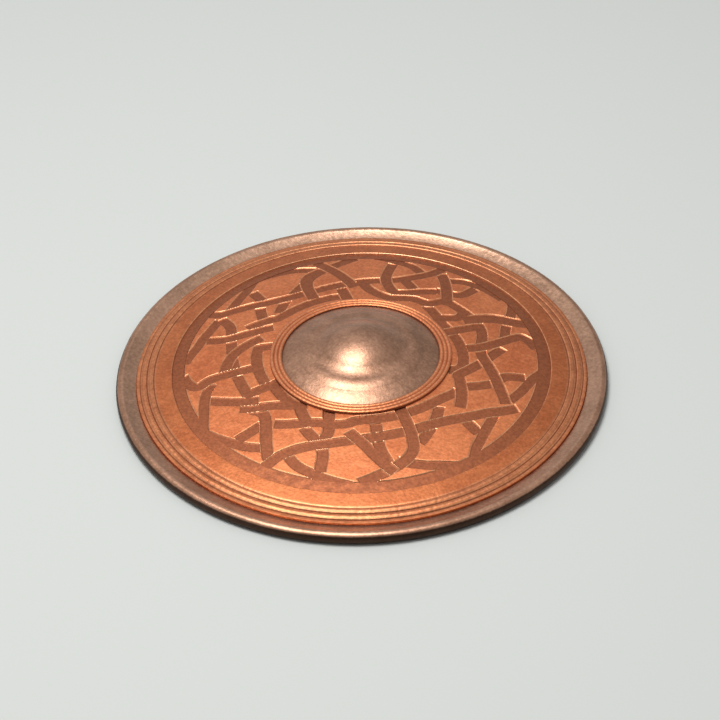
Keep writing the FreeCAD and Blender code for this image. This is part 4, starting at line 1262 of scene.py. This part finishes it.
@dataclass
class BackWork:
    """The cast ring behind the boss and the rivets that hold it, the grip and the lugs."""

    dome: FaceDome
    finish: bpy.types.Material
    rivet_finish: bpy.types.Material
    ring_outer: float = 130.0 * MM
    ring_edge: float = 2.4 * MM
    gap: float = SEAT_GAP
    head: float = 4.2 * MM
    head_height: float = 2.2 * MM
    shank: float = 2.0 * MM
    sink: float = 3.2 * MM
    sink_depth: float = 1.0 * MM
    recess: float = 0.3 * MM
    cast_round: float = 0.6 * MM
    cast_low: float = 0.7 * MM
    edge_film: Pair = (0.35, 6.0 * MM)
    edge_worn: Pair = (0.8, 0.5 * MM)
    top_film: float = 0.5
    ring_points: int = 5
    head_points: int = 9
    head_end: float = 0.08
    head_film_width: float = 0.9 * MM
    head_worn_width: float = 2.2 * MM
    boss_rivets: int = 12
    boss_circle: float = 101.2 * MM
    boss_wall: float = RAISED_WALL
    first_deg: float = 15.0
    bar_thickness: float = 4.0 * MM
    bar_rivet: Pair = (120.85 * MM, 9.5 * MM)
    lug_thickness: float = 2.4 * MM
    lug_rivet: Pair = (5.5 * MM, 119.0 * MM)

    def seat(self) -> float:
        """Height of the ring's flat underside, where the grip and lugs sit."""
        return self.dome.at(self.ring_outer, self.dome.wall + self.gap) - self.ring_edge

    def ring(self) -> None:
        """Build the ring: flat below, dished above, with softly cast edges.

        Film fades from both edges as exp(-e / w), and only the lower edges are worn.
        """
        depth = self.dome.wall + self.gap
        inner, outer = self.dome.hole, self.ring_outer
        reach = np.linspace(outer, inner, self.ring_points)
        corners = [(inner, self.seat()), (outer, self.seat())]
        corners += list(zip(reach, self.dome.height(reach, depth)))
        reach, height = rounded(corners, self.cast_round).T
        edge = np.minimum(np.abs(reach - inner), np.abs(reach - outer))
        low = height < self.seat() + self.cast_low
        film, film_width = self.edge_film
        worn, worn_width = self.edge_worn
        marks = {
            "hollow": film * np.exp(-edge / film_width) + self.top_film * (~low),
            "worn": worn * hump(edge, 0, worn_width) * low,
        }
        piece = turned("back_ring_casting", reach, height, Quality.MEDIUM.value, marks)
        finish_piece(piece, self.finish, "cast_bronze", BODY, "boss_back_ring")

    def rivet_set(
        self, name: str, low: float, top: float, places: Sequence[Pair], node: str
    ) -> None:
        """Build rivets: an elliptic head r = a cos t, z = -b sin t, and a countersunk shank.

        Args:
            name: the piece's name.
            low: height of the head's flat side.
            top: height of the countersunk end.
            places: where they stand, as x and y.
            node: the CAD node that they stand for.
        """
        turn = np.linspace(np.pi / 2, self.head_end, self.head_points)[1:]
        radius = np.concatenate([
            [0], self.head * np.cos(turn),
            [self.head, self.head - self.gap, self.shank, self.shank, self.sink, 0],
        ])
        height = np.concatenate([
            [low - self.head_height], low - self.head_height * np.sin(turn),
            [low - self.gap, low, low, top - self.sink_depth, top, top],
        ])
        marks = {
            "hollow": hump(radius, self.head, self.head_film_width),
            "worn": hump(radius, 0, self.head_worn_width),
        }
        piece = turned_cap(name, radius, height, Quality.SMALL.value, marks, places)
        finish_piece(piece, self.rivet_finish, "rivet_bronze", BODY, node)

    def build(self) -> None:
        """Build and dress the ring and every set of rivets."""
        self.ring()
        seat = self.seat()
        turn = full_turn(self.boss_rivets) + math.radians(self.first_deg)
        circle = self.boss_circle * np.concatenate([np.cos(turn), np.sin(turn)], axis=1)
        boss_top = self.dome.at(self.boss_circle) + self.gap + self.boss_wall - self.recess
        self.rivet_set("boss_rivet_heads", seat, boss_top, circle, "boss_rivets")
        ring_top = self.dome.at(self.ring_outer, self.dome.wall) - self.gap - self.recess
        signs = ((1, 1), (1, -1), (-1, 1), (-1, -1))
        ends = [(x * self.bar_rivet[0], y * self.bar_rivet[1]) for x, y in signs]
        self.rivet_set("grip_rivet_heads", seat - self.bar_thickness, ring_top, ends, "grip_rivets")
        foot = seat - self.lug_thickness
        for side in Side:
            pair = [(x * self.lug_rivet[0], side.value * self.lug_rivet[1]) for x in (-1, 1)]
            node = f"strap_lug_rivets_{side.label()}"
            self.rivet_set(f"lug_rivet_heads_{side.label()}", foot, ring_top, pair, node)


@dataclass
class HandGrip:
    """The grip: a forged strip across the boss's hollow, with a wooden half on each side."""

    seat: float
    bar_finish: bpy.types.Material
    wood_finish: bpy.types.Material
    pin_finish: bpy.types.Material
    end: float = 129.85 * MM
    lug_start: float = 111.85 * MM
    shoulder: float = 8.0 * MM
    half_lug: float = 17.0 * MM
    half_bar: float = 9.0 * MM
    thickness: float = 4.0 * MM
    drop: float = 8.0 * MM
    drop_start: float = 76.0 * MM
    half_hand: float = 56.0 * MM
    bar_corner: float = 0.9 * MM
    scale_end: float = 55.85 * MM
    half_waist: float = 11.5 * MM
    half_swell: float = 13.5 * MM
    scale_height: float = 9.0 * MM
    scale_round: float = 6.5 * MM
    pin_proud: float = 0.15 * MM
    pin: float = 2.5 * MM
    pin_trim: float = 0.6 * MM
    pin_dome_share: float = 0.1
    pin_spacing: float = 40.0 * MM
    pins_out: tuple[int, ...] = (-1, 0, 1)
    bar_rows: tuple[int, ...] = (89, 8, 89)
    scale_rows: int = 25
    round_points: int = 9
    top_film: float = 0.25
    edge_worn: float = 0.6
    pin_worn: float = 0.6

    def bar(self) -> None:
        """Build the strip: its middle lies lower by the drop, and its ends widen to lugs.

        Both the drop and the widening change in step with the distance from the middle.
        """
        stops = (-self.end, -self.half_hand, self.half_hand, self.end)
        along = stepped(stops, self.bar_rows)
        reach = np.abs(along)
        share = np.clip((reach - self.half_hand) / (self.drop_start - self.half_hand), 0, 1)
        middle = self.seat - self.thickness / 2 - self.drop * (1 - share)
        spread = np.clip((reach - self.lug_start + self.shoulder) / self.shoulder, 0, 1)
        half = self.half_bar + (self.half_lug - self.half_bar) * spread
        corner = np.full_like(reach, self.bar_corner)
        across, up = soft_box(half, np.full_like(reach, self.thickness / 2), corner)
        rim = np.abs(np.abs(across) - half[:, None]) < self.bar_corner
        marks = {"hollow": self.top_film * (up > 0), "worn": self.edge_worn * rim * (up < 0)}
        piece = lofted("grip_strip", spots(along[:, None], across, middle[:, None] + up), marks)
        finish_piece(piece, self.bar_finish, "cast_bronze", BODY, "grip_bar")

    def scale(self, name: str, flat: float, way: int, node: str) -> None:
        """Build one wooden half, swelling in the middle, with its outer edges rounded.

        The half width is w + (s - w) cos^2(pi x / 2 e). Near an end the height falls along a
        quarter circle of the rounding's radius.

        Args:
            name: the piece's name.
            flat: height of the side on the strip.
            way: 1 for the half above, -1 for the one below.
            node: the CAD node that it stands for.
        """
        quarter = np.linspace(0, np.pi / 2, self.round_points)
        tip = self.scale_end - self.scale_round * (1 - np.sin(quarter))
        middle = np.linspace(-tip[0], tip[0], self.scale_rows)
        along = np.concatenate([-tip[::-1], middle[1:-1], tip])
        over = np.clip(np.abs(along) - (self.scale_end - self.scale_round), 0, self.scale_round)
        fall = self.scale_round - np.sqrt(self.scale_round ** 2 - over ** 2)
        height = self.scale_height - self.pin_proud - fall
        wave = np.cos(np.pi / 2 * along / self.scale_end) ** 2
        half = self.half_waist + (self.half_swell - self.half_waist) * wave
        corner = np.minimum(self.scale_round, height)[:, None]
        side = half[:, None] - corner * (1 - np.cos(quarter))
        rise = height[:, None] - corner * (1 - np.sin(quarter))
        foot = half[:, None]
        across = np.concatenate([foot, side, -side[:, ::-1], -foot], axis=1)
        up = np.concatenate([0 * foot, rise, rise[:, ::-1], 0 * foot], axis=1)
        piece = lofted(name, spots(along[:, None], across, flat + way * up))
        finish_piece(piece, self.wood_finish, "grip_wood", BODY, node)

    def pins(self) -> None:
        """Build the three pins, whose ends stand a little proud of the wood."""
        top = self.seat - self.drop + self.scale_height
        low = self.seat - self.drop - self.thickness - self.scale_height
        trim, rise = self.pin_trim, self.pin_dome_share * self.pin_trim
        radius = np.array([0, self.pin - trim, self.pin, self.pin, self.pin - trim, 0])
        height = np.array([low, low + rise, low + trim, top - trim, top - rise, top])
        worn = self.pin_worn
        marks = {
            "hollow": np.array([0, 0, 1, 1, 0, 0]), "worn": np.array([1, worn, 0, 0, worn, 1]),
        }
        places = [(number * self.pin_spacing, 0.0) for number in self.pins_out]
        piece = turned_cap("grip_pin_ends", radius, height, Quality.SMALL.value, marks, places)
        finish_piece(piece, self.pin_finish, "rivet_bronze", BODY, "grip_pins")

    def build(self) -> None:
        """Build and dress the grip."""
        self.bar()
        top = self.seat - self.drop
        self.scale("grip_wood_front", top, 1, "grip_scale_front")
        self.scale("grip_wood_back", top - self.thickness, -1, "grip_scale_back")
        self.pins()


@dataclass
class StrapLug:
    """A strip riveted to the cast ring, with its end rolled round the loop's bar."""

    side: Side
    seat: float
    finish: bpy.types.Material
    half_width: float = 10.0 * MM
    start: float = 109.6 * MM
    reach: float = 131.6 * MM
    thickness: float = 2.4 * MM
    knuckle: float = 3.9 * MM
    bore: float = 2.3 * MM
    roll_deg: float = 160.0
    bevel: float = 0.35 * MM
    width_shares: tuple[float, ...] = (-1, -0.965, -0.9, 0.9, 0.965, 1)
    bevelled: tuple[int, ...] = (1, 0, 0, 0, 0, 1)
    worn_ends: tuple[int, ...] = (1, 1, 0, 0, 1, 1)
    roll_points: int = 40
    bore_points: int = 36
    strip_points: int = 4
    end_worn: float = 0.8
    tip_width: float = 0.8 * MM
    top_film: float = 0.2

    def build(self) -> None:
        """Build and dress the lug.

        The section runs along the strip's seat, round the knuckle by y = y0 + k cos t and
        z = z0 + k sin t, back round the bore at its own radius, and along the strip's other
        side. At both ends the section is drawn in by the bevel, along its normals.
        """
        axis = self.seat - self.knuckle
        under = self.knuckle - self.thickness
        end = math.radians(self.roll_deg) - 2 * np.pi
        roll = np.linspace(np.pi / 2, end, self.roll_points)
        back = np.linspace(end, np.pi - math.asin(under / self.bore), self.bore_points)
        strip = np.linspace(self.start, self.reach, self.strip_points, endpoint=False)
        along = np.concatenate([
            strip, self.reach + self.knuckle * np.cos(roll), self.reach + self.bore * np.cos(back),
            strip[::-1],
        ])
        height = np.concatenate([
            0 * strip + self.seat, axis + self.knuckle * np.sin(roll),
            axis + self.bore * np.sin(back), 0 * strip + self.seat - self.thickness,
        ])
        outline = np.stack([along, height], axis=-1)
        course = np.roll(outline, -1, axis=0) - np.roll(outline, 1, axis=0)
        course /= np.linalg.norm(course, axis=1, keepdims=True)
        inward = np.stack([course[:, 1], -course[:, 0]], axis=-1)
        place = self.half_width * np.array(self.width_shares)[:, None]
        flat = outline + self.bevel * np.array(self.bevelled)[:, None, None] * inward
        sections = spots(place, self.side.value * flat[..., 0], flat[..., 1])
        ends = self.end_worn * np.array(self.worn_ends)[:, None]
        marks = {
            "hollow": self.top_film * (height > axis) + 0 * ends,
            "worn": np.maximum(hump(along, self.start, self.tip_width), ends),
        }
        piece = lofted(f"strap_lug_strip_{self.side.label()}", sections, marks)
        finish_piece(piece, self.finish, "cast_bronze", BODY, f"strap_lug_{self.side.label()}")


@dataclass
class StrapLoop:
    """A D-shaped loop that hangs from its lug by a round bar."""

    lug: StrapLug
    bar: float = 2.0 * MM
    inside: float = 10.6 * MM
    arm: float = 3.6 * MM
    thickness: float = 4.0 * MM
    depth: float = 20.0 * MM
    corner: float = 1.1 * MM
    arm_rows: int = 6
    bend_rows: int = 33
    inner_film: float = 0.3
    outer_worn: float = 0.7

    def build(self) -> None:
        """Build and dress the loop: a soft-edged strip along the D, and the bar through it.

        The strip's middle runs down one arm, round x = b cos t and z = z0 + b sin t, and up the
        other arm. Its section is set out along the normal (cos t, sin t).
        """
        axis = self.lug.seat - self.lug.knuckle
        bend = self.inside + self.arm / 2
        low = axis - self.depth + self.inside + self.arm
        turn = np.linspace(0, -np.pi, self.bend_rows)
        arm = np.linspace(axis + self.bar, low, self.arm_rows, endpoint=False)
        straight = np.zeros(self.arm_rows)
        out_x = np.concatenate([straight + 1, np.cos(turn), straight - 1])[:, None]
        out_z = np.concatenate([straight, np.sin(turn), straight])[:, None]
        middle = np.concatenate([arm, low + bend * np.sin(turn), arm[::-1]])[:, None]
        size = np.ones(len(middle))
        across, up = soft_box(self.arm / 2 * size, self.thickness / 2 * size, self.corner * size)
        place = self.lug.side.value * self.lug.reach
        sections = spots((bend + across) * out_x, place + up, middle + across * out_z)
        marks = {
            "hollow": self.inner_film * (across < 0),
            "worn": self.outer_worn * (across > self.arm / 4),
        }
        side = self.lug.side.label()
        bow = lofted(f"strap_loop_bow_{side}", sections, marks)
        circle = full_turn(Quality.SMALL.value)[:, 0]
        ends = np.array([-bend, bend])[:, None]
        across, up = self.bar * np.cos(circle), self.bar * np.sin(circle)
        rod = lofted(f"strap_loop_rod_{side}", spots(ends, place + across, axis + up))
        for piece in (bow, rod):
            finish_piece(
                piece, self.lug.finish, "cast_bronze", f"loop_{side}", f"strap_loop_{side}"
            )


@dataclass
class Studio:
    """A pale floor, a large soft lamp high up, and the photograph's view of the shield."""

    floor_size: float = 12.0
    floor_roughness: float = 0.7
    lens_mm: float = 136.72
    sensor_mm: float = 36.0
    place: Triple = (1.3418, -2.2136, 2.1214)
    right: Triple = (0.86598, 0.49932, -0.02767)
    up: Triple = (-0.29535, 0.55533, 0.77741)
    lamp_direction: Triple = (-0.16, -0.10, 0.97)
    lamp_distance: float = 3.0
    lamp_size: float = 1.6
    lamp_watts: float = 70.0
    sky: float = 0.56
    dark_front: Triple = (0.62, -0.76, 0.18)
    front_range: Pair = (0.45, 0.95)
    front_share: float = 0.12
    dark_back: Triple = (-0.05, 0.94, 0.33)
    back_range: Pair = (0.86, 0.98)
    back_share: float = 0.68

    def floor(self) -> None:
        """Lay the floor, a plain pale matt sheet."""
        material, tree = new_material("pale_floor")
        surface = add_node(tree, "BsdfPrincipled", {
            "Base Color": linear(Tone.FLOOR), "Roughness": self.floor_roughness,
        })
        add_node(tree, "OutputMaterial", {"Surface": surface})
        half = self.floor_size / 2
        corners = np.array([[-half, -half, 0], [half, -half, 0], [half, half, 0], [-half, half, 0]])
        mesh = bpy.data.meshes.new("floor")
        mesh.from_pydata(corners.tolist(), [], [(0, 1, 2, 3)])
        piece = bpy.data.objects.new("floor", mesh)
        bpy.context.scene.collection.objects.link(piece)
        piece.data.materials.append(material)

    def camera(self) -> None:
        """Set the camera by its place and its right and up directions."""
        data = bpy.data.cameras.new("camera")
        data.lens = self.lens_mm
        data.sensor_width = self.sensor_mm
        camera = bpy.data.objects.new("camera", data)
        right, up = Vector(self.right).normalized(), Vector(self.up).normalized()
        back = right.cross(up)
        axes = Matrix((right, up, back)).transposed().to_4x4()
        camera.matrix_world = Matrix.Translation(self.place) @ axes
        bpy.context.scene.collection.objects.link(camera)
        bpy.context.scene.camera = camera

    def lights(self) -> None:
        """Hang the lamp and set a grey sky that is darker low down, in front and behind."""
        direction = Vector(self.lamp_direction).normalized()
        data = bpy.data.lights.new("key", "AREA")
        data.shape = "DISK"
        data.size = self.lamp_size
        data.energy = self.lamp_watts
        lamp = bpy.data.objects.new("key", data)
        lamp.matrix_world = (
            Matrix.Translation(direction * self.lamp_distance)
            @ direction.to_track_quat("Z", "Y").to_matrix().to_4x4()
        )
        bpy.context.scene.collection.objects.link(lamp)
        world = bpy.data.worlds.new("sky")
        world.use_nodes = True
        tree = world.node_tree
        tree.nodes.clear()
        place = add_node(tree, "TexCoord", output="Generated")
        strength = self.sky
        for centre, span, share in (
            (self.dark_front, self.front_range, self.front_share),
            (self.dark_back, self.back_range, self.back_share),
        ):
            toward = {0: place, 1: centre}
            closeness = add_node(tree, "VectorMath", toward, "Value", operation="DOT_PRODUCT")
            dimmed = add_node(
                tree, "MapRange", dict(enumerate((closeness, *span, 1.0, share))),
                interpolation_type="SMOOTHSTEP",
            )
            strength = add_node(tree, "Math", {0: strength, 1: dimmed}, operation="MULTIPLY")
        glow = add_node(tree, "Background", {"Color": (1, 1, 1, 1), "Strength": strength})
        add_node(tree, "OutputWorld", {"Surface": glow})
        bpy.context.scene.world = world

    def build(self) -> None:
        """Build the floor, the lights and the camera."""
        self.floor()
        self.camera()
        self.lights()
        bpy.context.scene.view_settings.view_transform = "Standard"


def main() -> None:
    """Build the shield's pieces in order and report each one."""
    logging.basicConfig(level=logging.INFO, format="%(name)s: %(message)s")
    dome = FaceDome()
    shield_radius = float(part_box("rim_binding")[1][0])
    # Face sheet, chased by hand: warm and evenly polished, dark in its bands, its edges painted
    # bright, partly as a painted highlight
    face = Bronze(
        "chased_copper_bronze", Tone.COPPER, Tone.COPPER_LIGHT, Tone.COPPER_DEEP, Tone.PATINA,
        Tone.COPPER_WEAR_AND_HIGHLIGHT, roughness=0.45, blotch_mm=60.0, grain_mm=3.6, grain_depth_mm=0.24,
        hammer_mm=18.0, hammer_depth_mm=0.15,
    ).build()
    # The border of the same sheet, planished: a little redder and smoother
    band = Bronze(
        "planished_copper_bronze", Tone.COPPER_BAND, Tone.COPPER, Tone.COPPER_BAND_DEEP, Tone.PATINA,
        Tone.COPPER_WEAR_AND_HIGHLIGHT, roughness=0.42, blotch_mm=60.0, grain_mm=3.6, grain_depth_mm=0.24,
        hammer_mm=18.0, hammer_depth_mm=0.12,
    ).build()
    # The beaded ring: fine-grained, with film in its grooves
    collar = Bronze(
        "beaded_copper_bronze", Tone.COPPER, Tone.COPPER_LIGHT, Tone.COPPER_DEEP, Tone.PATINA,
        Tone.COPPER_WEAR_AND_HIGHLIGHT, roughness=0.4, blotch_mm=25.0, grain_mm=0.9, grain_depth_mm=0.03,
    ).build()
    # Raised boss and rolled rim: a greyer bronze with small hammer marks, and a dark film that is
    # also the painted shade low on the rim's bead and in the boss's valley and foot
    grey = Bronze(
        "raised_grey_bronze", Tone.GREY_BRONZE, Tone.GREY_BRONZE_LIGHT, Tone.GREY_BRONZE_DEEP,
        Tone.GREY_PATINA_AND_SHADE, Tone.GREY_BRONZE_WEAR_AND_SHEEN, roughness=0.37, blotch_mm=30.0, grain_mm=3.2,
        grain_depth_mm=0.18, hammer_mm=9.0, hammer_depth_mm=0.2, metallic=0.92, speck=0.13,
    ).build()
    # Castings behind: brown, matt and faintly sandy, with the sand drawn coarser so that it shows
    cast = Bronze(
        "cast_brown_bronze", Tone.CAST_BRONZE, Tone.CAST_BRONZE_WORN, Tone.CAST_BRONZE_DEEP,
        Tone.CAST_PATINA, Tone.CAST_BRONZE_WORN, roughness=0.5, blotch_mm=18.0, grain_mm=0.8,
        grain_depth_mm=0.06,
    ).build()
    # Rivets, peened cold: lighter where the hammer landed
    rivet = Bronze(
        "peened_rivet_bronze", Tone.RIVET, Tone.RIVET_LIGHT, Tone.CAST_BRONZE, Tone.CAST_PATINA,
        Tone.CAST_BRONZE_WORN, roughness=0.4, blotch_mm=9.0, grain_mm=0.7, grain_depth_mm=0.04,
        hammer_mm=2.5, hammer_depth_mm=0.06,
    ).build()
    wood = OiledWood("oiled_oak", Tone.WOOD, Tone.WOOD_DARK).build()
    # The rod in the rim, which shows nowhere, is the only piece left as the CAD has it
    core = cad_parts["rim_core"]
    core.data.materials.clear()
    core.data.materials.append(OiledWood("bare_ash", Tone.ASH, Tone.WOOD).build())

    FacePlate(dome, Interlace(), face, band).build()
    RimBinding(dome, grey, shield_radius).build()
    Boss(dome, grey, collar).build()
    back = BackWork(dome, cast, rivet)
    back.build()
    HandGrip(back.seat(), cast, wood, rivet).build()
    for side in Side:
        lug = StrapLug(side, back.seat(), cast)
        lug.build()
        StrapLoop(lug).build()
    Studio().build()


if __name__ == "__main__":
    main()
